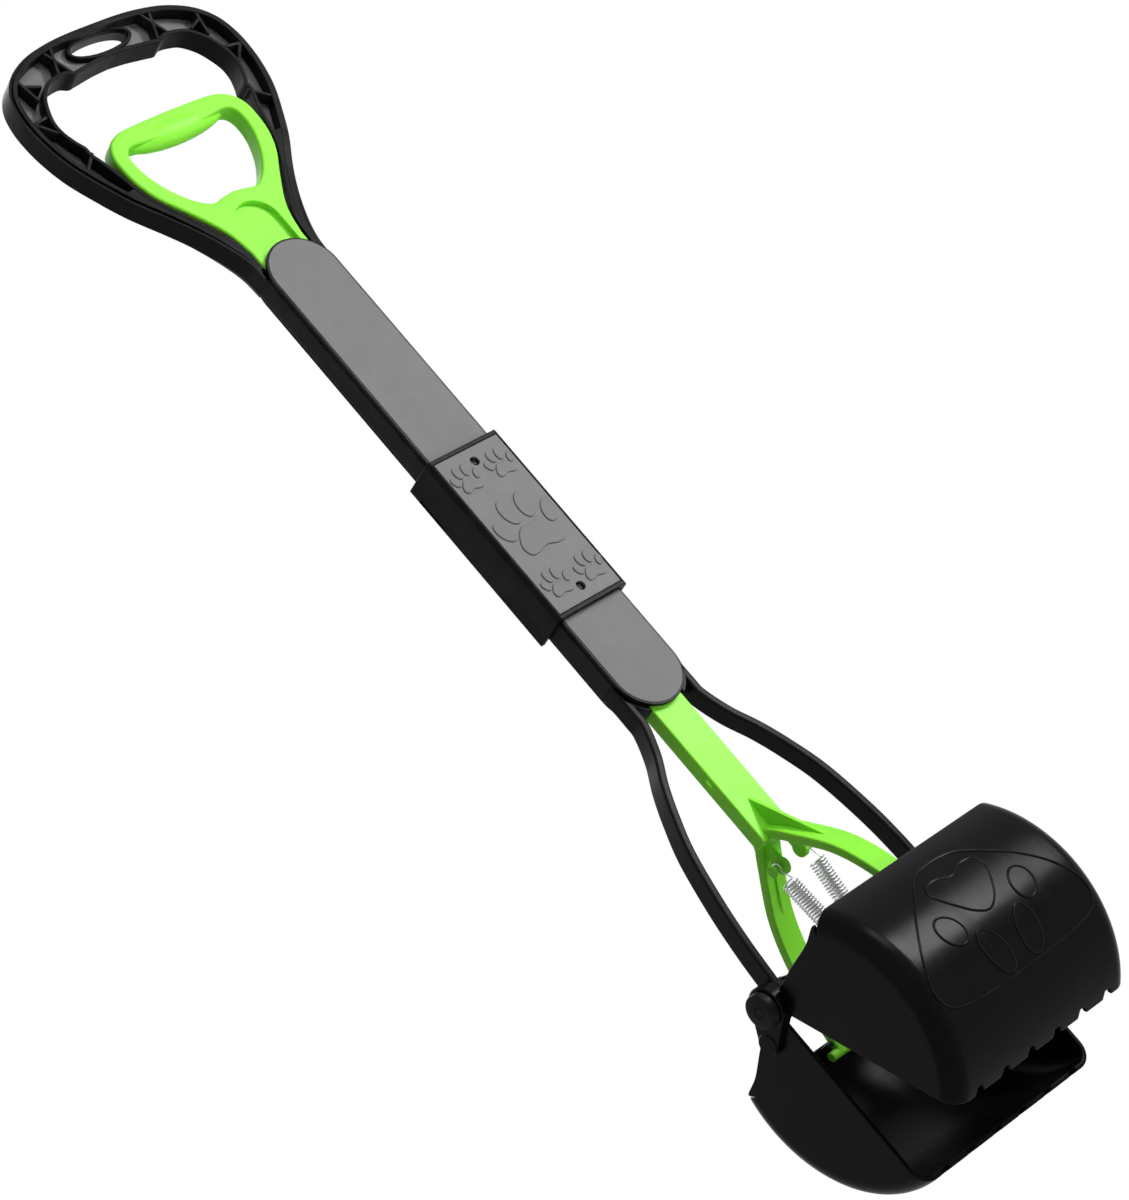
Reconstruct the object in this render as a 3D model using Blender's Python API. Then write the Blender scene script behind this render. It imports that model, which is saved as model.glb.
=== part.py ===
"""Long-handled folding jaw scoop.

A black D-handle frame carries a green trigger handle. The trigger lifts a two-part rod that
opens two curved jaws at the foot. The shaft folds backwards at a hinge in its middle, and a
sliding sleeve covers that hinge. All lengths are in metres. +Z runs up the shaft, -Y is the
front, and the origin is the middle of the hanging slot at the top of the handle.
"""

import math

import bmesh
import bpy
from mathutils import Matrix, Vector

# Fits between pieces
GAP = 0.0003
RUNNING_GAP = 0.0004
CUT_OVERRUN = 0.002

# Shaft
FRAME_WIDTH = 0.0422
FRAME_DEPTH = 0.0112
LEG_WALL = 0.003
COVER_WIDTH = 0.041
COVER_THICKNESS = 0.0024
SHAFT_JOINT_GAP = 0.0004

# Distances up and down the shaft, measured from the fold hinge
SHOULDER_HEIGHT = 0.173
UPPER_COVER_TOP = 0.189
LOWER_COVER_DROP = 0.110
UPPER_REAR_COVER_START = 0.0435
LOWER_REAR_COVER_START = 0.025
PIVOT_DROP = 0.253
PIVOT_BACKSET = 0.0027

# Fold hinge
HINGE_BACKSET = 0.0033
EAR_RADIUS = 0.0050
EAR_WALL = 0.0034
HINGE_PIN_RADIUS = 0.0022
HINGE_PIN_HEAD_RADIUS = 0.0034
HINGE_PIN_HEAD = 0.0010
FOLD_RELIEF = 0.0082

# D-handle
HANDLE_HALF_WIDTH = 0.0725
HANDLE_HEIGHT = 0.1683
HANDLE_FRONT = -0.0048
HANDLE_BACK = 0.0081
HANDLE_TAPER_TOP = 0.236
HANDLE_TAPER_END = 0.180
HANDLE_ROUNDING = 0.0012
HANDLE_SIDE_DEPTH = 0.0151
HANDLE_BAR_DEPTH = 0.0210
HANG_DROP = 0.0098
OPENING_HALF_WIDTH = HANDLE_HALF_WIDTH - HANDLE_SIDE_DEPTH
OPENING_HEIGHT = HANDLE_HEIGHT - HANDLE_BAR_DEPTH
HANG_TO_HINGE = SHOULDER_HEIGHT + HANDLE_HEIGHT - HANG_DROP
RIM_WALL = 0.0024
BACK_WALL = 0.0024
RIB_THICKNESS = 0.0018
HANG_SLOT_HALF_LENGTH = 0.0185
HANG_SLOT_HALF_HEIGHT = 0.0056
HANG_RIM_WALL = 0.0022
HANG_RIM_HEIGHT = 0.0034

# Trigger handle and its rod
TRIGGER_HALF_WIDTH = 0.0452
TRIGGER_BASE = 0.190
TRIGGER_HEIGHT = 0.0900
TRIGGER_DEPTH = 0.0108
GRIP_OPENING_HALF_WIDTH = 0.0364
GRIP_OPENING_BASE = 0.2236
GRIP_OPENING_HEIGHT = 0.0454
GRIP_HALF_LENGTH = 0.0300
GRIP_RADIUS_Z = 0.0072
GRIP_RADIUS_Y = 0.0080
GRIP_HEIGHT = 0.2722
NECK_HALF_WIDTH = 0.0170
NECK_BOTTOM = 0.160
DISH_TOP = 0.2170
DISH_HALF_WIDTH = 0.0128
DISH_DEPTH = 0.0020
TRIGGER_ROUNDING = 0.0020
ROD_WIDTH = 0.021
ROD_DEPTH = 0.0088
ROD_END = 0.0085
ROD_ROUNDING = 0.0009
KNUCKLE_RADIUS = 0.0050
KNUCKLE_HALF_WIDTH = 0.0048
ROD_PIN_RADIUS = 0.0020

# Lower rod and its fork
LOWER_ROD_TOP = 0.0065
LOWER_ROD_BACK_RELIEF = 0.0026
LOWER_ROD_RELIEF_LENGTH = 0.024
FORK_CROTCH_DROP = 0.186
FORK_SPREAD = 0.0560
FORK_DROP = 0.0950
FORK_STRAP_THICKNESS = 0.0050
FORK_STRAP_WIDTH = 0.014
FOOT_RADIUS = 0.0025
FOOT_LENGTH = 0.028
STRAP_CLEARANCE = 0.0012
GUSSET_THICKNESS = 0.0026
GUSSET_TOP_DROP = 0.168
GUSSET_END_SHARE = 0.40
STOP_TAB_DROP = 0.150
STOP_TAB_LENGTH = 0.004
STOP_TAB_STANDOUT = 0.0014
STOP_TAB_WIDTH = 0.004
SPRING_POST_DROP = 0.202
SPRING_POST_BACKSET = 0.006
SPRING_POST_RADIUS = 0.0016
SPRING_BOSS_RADIUS = 0.0044
SPRING_BOSS_START = 0.0015
SPRING_BOSS_END = 0.0042
SPRING_FLANGE_RADIUS = 0.0030
SPRING_FLANGE_THICKNESS = 0.0010

# Springs
SPRING_OFFSET = 0.0065
SPRING_RADIUS = 0.0040
SPRING_WIRE_RADIUS = 0.00045
SPRING_TURNS = 16
SPRING_STEPS_PER_TURN = 8
SPRING_TOP_TAIL = 0.0060
SPRING_FOOT_TAIL = 0.0075
TOP_HOOK_RADIUS = 0.0027
FOOT_HOOK_RADIUS = 0.0037
HOOK_STEPS = 9
TOP_HOOK_START_DEG = 150.0
TOP_HOOK_SWEEP_DEG = 240.0
TOP_HOOK_END_SHARE = 0.95
FOOT_HOOK_START_DEG = 55.0
FOOT_HOOK_SWEEP_DEG = 235.0
SPRING_GAP_FLOOR = 0.0004

# Arms of the lower frame
ARM_WIDTH = 0.0044
ARM_SPAN = 0.1152
EYE_WIDTH = 0.0054
ARM_EYE_RADIUS = 0.0092
RAIL_END_WALL = 0.0036
ROD_SLOT_CLEARANCE = 0.0008

# Jaws
JAW_HALF_WIDTH = 0.0645
JAW_WALL = 0.0024
JAW_REACH = 0.1068
JAW_ARC_RADIUS = 0.0684
JAW_ARC_CENTRE_OFFSET = 0.0040
JAW_ARC_CENTRE_DROP = 0.0385
JAW_TOP_DROP = 0.0200
JAW_TOP_OUT = 0.0625
JAW_EDGE_ROUNDING = 0.0080
JAW_PIVOT_RELIEF = 0.0114
PARTING_GAP = 0.0003
FRONT_JAW_LIFT_DEG = 29.0
TOOTH_NOTCH_COUNT = 6
TOOTH_NOTCH_PITCH = 0.019
TOOTH_NOTCH_WIDTH = 0.0065
TOOTH_NOTCH_DEPTH = 0.0030
TOOTH_NOTCH_INSET = 0.0001
CORNER_BAND = 0.0029
LIP_TIP = 0.0520
LIP_GAP = 0.0010
LIP_THICKNESS = 0.0026
LIP_LENGTH = 0.0070
FOOT_NOTCH_DEPTH = 0.0045
JAW_EAR_RADIUS = 0.0085
REAR_EAR_RADIUS = 0.0104
JAW_EAR_WALL = 0.0032
REAR_EAR_STANDOUT = 0.0037
JAW_EAR_REACH = 0.0200
JAW_EAR_FOOT_RADIUS = 0.0070
JAW_EAR_LEAN_DEG = 36.5

# Jaw axle
AXLE_RADIUS = 0.0027
AXLE_CAP_RADIUS = 0.0088
AXLE_CAP_THICKNESS = 0.0040
AXLE_CAP_RECESS = 0.0014
BUSH_WALL = 0.0012
AXLE_CLEARANCE = 0.0003

# Sleeve
SLEEVE_LENGTH = 0.100
SLEEVE_WALL = 0.0027
SLEEVE_CHAMFER = 0.0020
SLEEVE_CLEARANCE = 0.0004
SLEEVE_FACE_THICKNESS = 0.0016
SLEEVE_FACE_BORDER = 0.0026
SLEEVE_REAR_START = 0.024
SLEEVE_REAR_END = 0.0431
SLEEVE_SCREW_SPACING = 0.080

# Fasteners
SCREW_HEAD_RADIUS = 0.0022
SCREW_SHANK_RADIUS = 0.0010
SCREW_HEAD_THICKNESS = 0.0010
SCREW_LENGTH = 0.0090
SCREW_RECESS = 0.0003
BOSS_RADIUS = 0.0030
BOSS_INSET = 0.0022
SLEEVE_SCREW_RADIUS = 0.0024
SLEEVE_SHANK_RADIUS = 0.0011
UPPER_SCREW_HEIGHTS = (0.056, 0.148)
LOWER_SCREW_DROPS = (0.036, 0.084)

# Outlines as shares of the sizes they follow: (half-width share, height share)
HANDLE_OUTER_SHARES = (
    (0.0, 1.0), (0.21, 0.999), (0.393, 0.993), (0.593, 0.977), (0.752, 0.950), (0.868, 0.915),
    (0.950, 0.867), (0.990, 0.810), (1.0, 0.747), (0.982, 0.668), (0.928, 0.580), (0.830, 0.489),
    (0.722, 0.404), (0.574, 0.312), (0.461, 0.232), (0.366, 0.148), (0.306, 0.071),
)
OPENING_SHARES = (
    (0.0, 1.0), (0.19, 0.995), (0.418, 0.983), (0.495, 0.980), (0.575, 0.993), (0.690, 0.989),
    (0.793, 0.976), (0.897, 0.937), (0.958, 0.893), (1.0, 0.842), (0.997, 0.794), (0.958, 0.747),
    (0.917, 0.713), (0.912, 0.682), (0.871, 0.638), (0.806, 0.553), (0.728, 0.450), (0.500, 0.297),
    (0.355, 0.190), (0.312, 0.098),
)
TRIGGER_SHARES = (
    (0.0, 1.0), (0.50, 0.995), (0.74, 0.980), (0.90, 0.935), (0.985, 0.860), (1.0, 0.770),
    (0.975, 0.650), (0.88, 0.522), (0.70, 0.385), (0.51, 0.232), (0.425, 0.125),
)
GRIP_OPENING_SHARES = (
    (0.0, 0.955), (0.35, 0.962), (0.62, 0.985), (0.82, 1.0), (0.95, 0.955), (1.0, 0.82),
    (0.965, 0.60), (0.83, 0.34), (0.62, 0.115), (0.40, 0.0), (0.20, 0.02), (0.0, 0.04),
)
FORK_SHARES = (
    (0.05, 0.0), (0.17, 0.055), (0.30, 0.13), (0.437, 0.21), (0.57, 0.295), (0.684, 0.395),
    (0.777, 0.505), (0.853, 0.621), (0.92, 0.747), (0.972, 0.875), (1.0, 1.0),
)
# Arm centre line: (share of the pivot's half-span, share of the drop from cover end to pivot)
ARM_SHARES = ((0.342, -0.14), (0.342, -0.03), (0.352, 0.025), (0.452, 0.126), (0.596, 0.224), (0.718, 0.329),
              (0.838, 0.461), (0.932, 0.643), (0.980, 0.797), (0.998, 0.93), (1.0, 1.0))
JAW_TOP_EDGE_SHARES = ((0.88, 0.98), (0.69, 0.84), (0.44, 0.50), (0.18, 0.20))
# Rib ends on the handle's right half: (half-width share, height share), start then end
RIB_ENDS = (
    ((0.448, 0.985), (0.363, 0.865)), ((0.375, 0.985), (0.395, 0.930)), ((0.410, 0.910), (0.448, 0.868)),
    ((0.820, 0.932), (0.745, 0.815)), ((0.775, 0.880), (0.690, 0.860)), ((0.935, 0.765), (0.840, 0.765)),
    ((0.930, 0.745), (0.850, 0.690)), ((0.870, 0.560), (0.715, 0.590)),
)
POCKET_END_SHARE = 0.43
CURVE_STEPS = 3
ARC_SEGMENTS = 18
GRIP_SEGMENTS = 16
GRIP_RINGS = 10
ROUND_SEGMENTS = 24
SMALL_SEGMENTS = 12
SMOOTH_ANGLE = math.radians(35.0)
CORNER_ANGLE = math.radians(50.0)

HINGE_Z = -HANG_TO_HINGE
PIVOT_Z = HINGE_Z - PIVOT_DROP
LEG_OUTER = FRAME_WIDTH / 2
LEG_INNER = LEG_OUTER - LEG_WALL
EAR_INNER = LEG_INNER - RUNNING_GAP - EAR_WALL
COVER_INNER_Y = FRAME_DEPTH / 2 + GAP
COVER_OUTER_Y = COVER_INNER_Y + COVER_THICKNESS
SLEEVE_INNER_X = LEG_OUTER + SLEEVE_CLEARANCE
SLEEVE_INNER_Y = COVER_OUTER_Y + SLEEVE_CLEARANCE
SLEEVE_OUTER_X = SLEEVE_INNER_X + SLEEVE_WALL
SLEEVE_OUTER_Y = SLEEVE_INNER_Y + SLEEVE_WALL
ARM_CENTRE_X = ARM_SPAN / 2
EYE_INNER_X = ARM_CENTRE_X - EYE_WIDTH / 2
EYE_OUTER_X = ARM_CENTRE_X + EYE_WIDTH / 2
FRONT_EAR_OUTER = EYE_INNER_X - RUNNING_GAP
FRONT_EAR_INNER = FRONT_EAR_OUTER - JAW_EAR_WALL
REAR_EAR_INNER = EYE_OUTER_X + RUNNING_GAP
REAR_EAR_OUTER = JAW_HALF_WIDTH + REAR_EAR_STANDOUT
FORK_FOOT_DROP = FORK_CROTCH_DROP + FORK_DROP - PIVOT_DROP
AXLE_BORE = AXLE_RADIUS + AXLE_CLEARANCE


def make_material(name, colour, roughness, metallic=0.0):
    """Return a plain Principled material."""
    finish = bpy.data.materials.new(name)
    finish.use_nodes = True
    shader = finish.node_tree.nodes["Principled BSDF"]
    shader.inputs["Base Color"].default_value = (*colour, 1.0)
    shader.inputs["Roughness"].default_value = roughness
    shader.inputs["Metallic"].default_value = metallic
    return finish


def add_solid(name, shape):
    """Turn a bmesh into a linked object and free it."""
    bmesh.ops.recalc_face_normals(shape, faces=shape.faces[:])
    mesh = bpy.data.meshes.new(name)
    shape.to_mesh(mesh)
    shape.free()
    solid = bpy.data.objects.new(name, mesh)
    bpy.context.scene.collection.objects.link(solid)
    return solid


def settle(solid):
    """Replace a solid's mesh by the one its modifiers give."""
    bpy.context.view_layer.update()
    depsgraph = bpy.context.evaluated_depsgraph_get()
    mesh = bpy.data.meshes.new_from_object(solid.evaluated_get(depsgraph))
    solid.modifiers.clear()
    solid.data = mesh


def combine(solid, tool, operation):
    """Cut a tool out of a solid, or join it on, and remove the tool."""
    step = solid.modifiers.new(operation.title(), "BOOLEAN")
    step.operation = operation
    step.solver = "EXACT"
    step.object = tool
    settle(solid)
    bpy.data.objects.remove(tool, do_unlink=True)


def cut(solid, *tools):
    """Cut each tool out of the solid."""
    for tool in tools:
        combine(solid, tool, "DIFFERENCE")


def join(solid, *tools):
    """Join each tool to the solid."""
    for tool in tools:
        combine(solid, tool, "UNION")


def round_edges(solid, width, segments, angle):
    """Round every edge sharper than the angle."""
    step = solid.modifiers.new("Rounding", "BEVEL")
    step.width = width
    step.segments = segments
    step.limit_method = "ANGLE"
    step.angle_limit = angle
    step.use_clamp_overlap = True
    settle(solid)


def prism(name, outline, axis, low, high):
    """Extrude a 2-D outline along an axis. The outline holds the other two coordinates."""
    shape = bmesh.new()
    slots = {"X": (1, 2, 0), "Y": (0, 2, 1), "Z": (0, 1, 2)}[axis]
    corners = []
    for first, second in outline:
        place = [low, low, low]
        place[slots[0]] = first
        place[slots[1]] = second
        place[slots[2]] = low
        corners.append(shape.verts.new(place))
    face = shape.faces.new(corners)
    pushed = bmesh.ops.extrude_face_region(shape, geom=[face])["geom"]
    moved = [part for part in pushed if isinstance(part, bmesh.types.BMVert)]
    travel = Vector((0.0, 0.0, 0.0))
    travel[slots[2]] = high - low
    bmesh.ops.translate(shape, verts=moved, vec=travel)
    return add_solid(name, shape)


def block(name, x_span, y_span, z_span):
    """A rectangular block between three pairs of limits."""
    outline = ((x_span[0], z_span[0]), (x_span[1], z_span[0]), (x_span[1], z_span[1]), (x_span[0], z_span[1]))
    return prism(name, outline, "Y", y_span[0], y_span[1])


def drum(name, axis, radius, low, high, centre, segments=ROUND_SEGMENTS):
    """A cylinder along an axis, between two stations, about a 2-D centre."""
    shape = bmesh.new()
    bmesh.ops.create_cone(shape, cap_ends=True, segments=segments, radius1=radius, radius2=radius,
                          depth=high - low)
    middle = (low + high) / 2
    if axis == "X":
        turn = Matrix.Rotation(math.pi / 2, 4, "Y")
        place = Vector((middle, centre[0], centre[1]))
    elif axis == "Y":
        turn = Matrix.Rotation(-math.pi / 2, 4, "X")
        place = Vector((centre[0], middle, centre[1]))
    else:
        turn = Matrix.Identity(4)
        place = Vector((centre[0], centre[1], middle))
    bmesh.ops.transform(shape, matrix=Matrix.Translation(place) @ turn, verts=shape.verts[:])
    return add_solid(name, shape)


def turned(name, axis, stations, centre, segments=SMALL_SEGMENTS):
    """A stepped round piece from (radius, station) pairs, given in order along an axis."""
    shape = bmesh.new()
    rings = []
    for radius, station in stations:
        ring = []
        for step in range(segments):
            turn = 2 * math.pi * step / segments
            first = centre[0] + radius * math.cos(turn)
            second = centre[1] + radius * math.sin(turn)
            place = {"X": (station, first, second), "Y": (first, station, second),
                     "Z": (first, second, station)}[axis]
            ring.append(shape.verts.new(place))
        rings.append(ring)
    for low_ring, high_ring in zip(rings, rings[1:]):
        for step in range(segments):
            after = (step + 1) % segments
            shape.faces.new((low_ring[step], low_ring[after], high_ring[after], high_ring[step]))
    shape.faces.new(rings[0])
    shape.faces.new(rings[-1])
    return add_solid(name, shape)


def smooth_curve(points, steps=CURVE_STEPS):
    """Run a Catmull-Rom curve through 2-D points."""
    first = (2 * points[0][0] - points[1][0], 2 * points[0][1] - points[1][1])
    last = (2 * points[-1][0] - points[-2][0], 2 * points[-1][1] - points[-2][1])
    knots = [first, *points, last]
    curve = []
    for index in range(1, len(knots) - 2):
        before, start, end, after = (Vector(knots[index + shift]) for shift in (-1, 0, 1, 2))
        for step in range(steps):
            share = step / steps
            curve.append(0.5 * (2 * start + (end - before) * share
                                + (2 * before - 5 * start + 4 * end - after) * share ** 2
                                + (3 * start - before - 3 * end + after) * share ** 3))
    curve.append(Vector(points[-1]))
    return curve


def offset_curve(curve, distance):
    """Shift an open 2-D curve to its left by a distance."""
    shifted = []
    for index, point in enumerate(curve):
        before = curve[max(index - 1, 0)]
        after = curve[min(index + 1, len(curve) - 1)]
        along = (after - before).normalized()
        shifted.append(point + Vector((-along.y, along.x)) * distance)
    return shifted


def mirrored(curve):
    """Join a half curve, given from the centre line outwards, to its mirror image."""
    left = [Vector((-point[0], point[1])) for point in reversed(curve)]
    centre_shared = abs(curve[0][0]) < GAP
    return left + [Vector(point) for point in (curve[1:] if centre_shared else curve)]


def at_share(curve, share):
    """The point a share of the way along a curve, by length."""
    lengths = [0.0]
    for start, end in zip(curve, curve[1:]):
        lengths.append(lengths[-1] + (end - start).length)
    target = share * lengths[-1]
    for index, length in enumerate(lengths[1:], start=1):
        if length >= target:
            span = length - lengths[index - 1]
            part = (target - lengths[index - 1]) / span
            return curve[index - 1].lerp(curve[index], part)
    return curve[-1]


def ellipse(half_length, half_height, centre, segments=ROUND_SEGMENTS):
    """An ellipse outline."""
    turns = (2 * math.pi * step / segments for step in range(segments))
    return [(centre[0] + half_length * math.cos(turn), centre[1] + half_height * math.sin(turn))
            for turn in turns]


def finish_piece(solid, finish, body):
    """Shade a finished solid, give it its material and hang it on its body's empty."""
    solid.data.transform(Matrix.Translation(-body.location))
    solid.parent = body
    solid.data.materials.clear()
    solid.data.materials.append(finish)
    solid.data.shade_smooth()
    solid.data.set_sharp_from_angle(angle=SMOOTH_ANGLE)
    return solid


def add_body(name, place):
    """An empty on a moving body's joint axis."""
    body = bpy.data.objects.new(name, None)
    body.location = place
    bpy.context.scene.collection.objects.link(body)
    return body


def handle_curves():
    """The outer and inner half outlines of the D-handle, from the top centre down."""
    base = HINGE_Z + SHOULDER_HEIGHT
    outer = [(share_x * HANDLE_HALF_WIDTH, base + share_z * HANDLE_HEIGHT)
             for share_x, share_z in HANDLE_OUTER_SHARES]
    outer.append((LEG_OUTER, base))
    inner = [(share_x * OPENING_HALF_WIDTH, base + share_z * OPENING_HEIGHT)
             for share_x, share_z in OPENING_SHARES]
    inner.append((LEG_INNER, base))
    return smooth_curve(outer), smooth_curve(inner)


def pocket_tool(outer, inner, low, high):
    """The channel sunk into the front of the handle, with its ribs left standing."""
    base = HINGE_Z + SHOULDER_HEIGHT
    end = base + POCKET_END_SHARE * HANDLE_HEIGHT
    outer_wall = [point for point in offset_curve(outer, -RIM_WALL) if point.y > end]
    inner_wall = [point for point in offset_curve(inner, RIM_WALL) if point.y > end]
    outline = mirrored(outer_wall) + list(reversed(mirrored(inner_wall)))
    tool = prism("pocket_tool", outline, "Y", low, high)
    for ends in RIB_ENDS:
        start, finish = (Vector((share_x * HANDLE_HALF_WIDTH, base + share_z * HANDLE_HEIGHT))
                         for share_x, share_z in ends)
        along = (finish - start).normalized()
        start = start - along * RIM_WALL
        finish = finish + along * RIM_WALL
        side = Vector((-along.y, along.x)) * RIB_THICKNESS / 2
        for mirror in (1, -1):
            corners = [(mirror * corner.x, corner.y)
                       for corner in (start + side, finish + side, finish - side, start - side)]
            cut(tool, prism("rib", corners, "Y", low - CUT_OVERRUN, high + CUT_OVERRUN))
    return tool


def cover_outline(start, end, width, growth=0.0):
    """A strip with a half-round end, from a square start to the round end's tip."""
    half = width / 2 + growth
    direction = 1 if end > start else -1
    centre = end - direction * width / 2
    outline = [(-half, start), (half, start)]
    for step in range(ROUND_SEGMENTS // 2 + 1):
        turn = math.pi * step / (ROUND_SEGMENTS // 2)
        outline.append((half * math.cos(turn), centre + direction * half * math.sin(turn)))
    return outline


def screw_places(heights):
    """Centres of a half shaft's cover screws, as (side, height)."""
    return [(side * (LEG_INNER - BOSS_INSET), HINGE_Z + height) for height in heights
            for side in (-1, 1)]


def make_handle_frame(finish, body):
    """The D-handle with its two legs and outer hinge ears, in one piece."""
    outer, inner = handle_curves()
    outer.append(Vector((LEG_OUTER, HINGE_Z)))
    inner.append(Vector((LEG_INNER, HINGE_Z)))
    outline = mirrored(outer) + list(reversed(mirrored(inner)))
    front, back, depth = HANDLE_FRONT, HANDLE_BACK, FRAME_DEPTH / 2
    frame = prism("handle_frame", outline, "Y", -depth - CUT_OVERRUN, back + CUT_OVERRUN)
    taper_top, taper_end = HINGE_Z + HANDLE_TAPER_TOP, HINGE_Z + HANDLE_TAPER_END
    crown = HINGE_Z + SHOULDER_HEIGHT + HANDLE_HEIGHT + CUT_OVERRUN
    side_view = [(-depth, HINGE_Z + SHAFT_JOINT_GAP), (-depth, taper_end), (front, taper_top), (front, crown),
                 (back, crown), (back, taper_top), (depth, taper_end), (depth, HINGE_Z + FOLD_RELIEF),
                 (HINGE_BACKSET, HINGE_Z + SHAFT_JOINT_GAP)]
    reach = HANDLE_HALF_WIDTH + CUT_OVERRUN
    combine(frame, prism("side_view", side_view, "X", -reach, reach), "INTERSECT")
    round_edges(frame, HANDLE_ROUNDING, 1, CORNER_ANGLE)
    floor = back - BACK_WALL
    cut(frame, pocket_tool(outer, inner, -depth - CUT_OVERRUN, floor))
    rim = ellipse(HANG_SLOT_HALF_LENGTH + HANG_RIM_WALL, HANG_SLOT_HALF_HEIGHT + HANG_RIM_WALL, (0.0, 0.0))
    join(frame, prism("hang_rim", rim, "Y", floor - HANG_RIM_HEIGHT, floor + BACK_WALL / 2))
    slot = ellipse(HANG_SLOT_HALF_LENGTH, HANG_SLOT_HALF_HEIGHT, (0.0, 0.0))
    cut(frame, prism("hang_slot", slot, "Y", -depth - CUT_OVERRUN, back + CUT_OVERRUN))

    for side in (-1, 1):
        span = sorted((side * LEG_INNER, side * LEG_OUTER))
        join(frame, drum("ear", "X", EAR_RADIUS, span[0], span[1], (HINGE_BACKSET, HINGE_Z)))
    for x_place, z_place in screw_places(UPPER_SCREW_HEIGHTS):
        join(frame, drum("boss", "Y", BOSS_RADIUS, GAP - depth, depth - GAP, (x_place, z_place),
                         SMALL_SEGMENTS))
        cut(frame, drum("bore", "Y", SCREW_SHANK_RADIUS + GAP, COVER_OUTER_Y - SCREW_LENGTH - GAP,
                        depth + CUT_OVERRUN, (x_place, z_place), SMALL_SEGMENTS))
    seat = cover_outline(HINGE_Z + SHOULDER_HEIGHT - COVER_WIDTH, HINGE_Z + UPPER_COVER_TOP, COVER_WIDTH, GAP)
    cut(frame, prism("rear_seat", seat, "Y", depth, back + CUT_OVERRUN))
    for side in (-1, 1):
        span = sorted((side * (LEG_INNER - CUT_OVERRUN), side * (LEG_OUTER + CUT_OVERRUN)))
        cut(frame, drum("ear_bore", "X", HINGE_PIN_RADIUS + GAP, span[0], span[1], (HINGE_BACKSET, HINGE_Z),
                        SMALL_SEGMENTS))
    return finish_piece(frame, finish, body)


def make_cover(name, start, end, front, screws, finish, body):
    """A flat cover strip with one rounded end, on the front or the back of the shaft."""
    low, high = COVER_INNER_Y, COVER_OUTER_Y
    if front:
        low, high = -COVER_OUTER_Y, -COVER_INNER_Y
    cover = prism(name, cover_outline(start, end, COVER_WIDTH), "Y", low, high)
    shank, head = SCREW_SHANK_RADIUS + GAP, SCREW_HEAD_RADIUS + GAP
    step_up = high - SCREW_HEAD_THICKNESS - SCREW_RECESS
    for place in screws:
        stations = ((shank, low - CUT_OVERRUN), (shank, step_up), (head, step_up), (head, high + CUT_OVERRUN))
        cut(cover, turned("hole", "Y", stations, place))
    return finish_piece(cover, finish, body)


def make_cover_screws(prefix, places, finish, body):
    """The pan-head screws that hold a rear cover to the bosses of the frame."""
    head_back = COVER_OUTER_Y - SCREW_RECESS
    head_front = head_back - SCREW_HEAD_THICKNESS + GAP
    tip = COVER_OUTER_Y - SCREW_LENGTH
    stations = ((SCREW_SHANK_RADIUS, tip), (SCREW_SHANK_RADIUS, head_front), (SCREW_HEAD_RADIUS, head_front),
                (SCREW_HEAD_RADIUS, head_back))
    for number, place in enumerate(places, start=1):
        finish_piece(turned(f"{prefix}_screw_{number}", "Y", stations, place), finish, body)


def make_hinge_pins(finish, body):
    """The two headed stub pins of the fold hinge."""
    for name, side in (("hinge_pin_left", -1), ("hinge_pin_right", 1)):
        under_head = side * (EAR_INNER - GAP)
        stations = ((HINGE_PIN_HEAD_RADIUS, under_head - side * HINGE_PIN_HEAD),
                    (HINGE_PIN_HEAD_RADIUS, under_head), (HINGE_PIN_RADIUS, under_head),
                    (HINGE_PIN_RADIUS, side * (LEG_OUTER - GAP)))
        finish_piece(turned(name, "X", stations, (HINGE_BACKSET, HINGE_Z)), finish, body)


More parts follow.
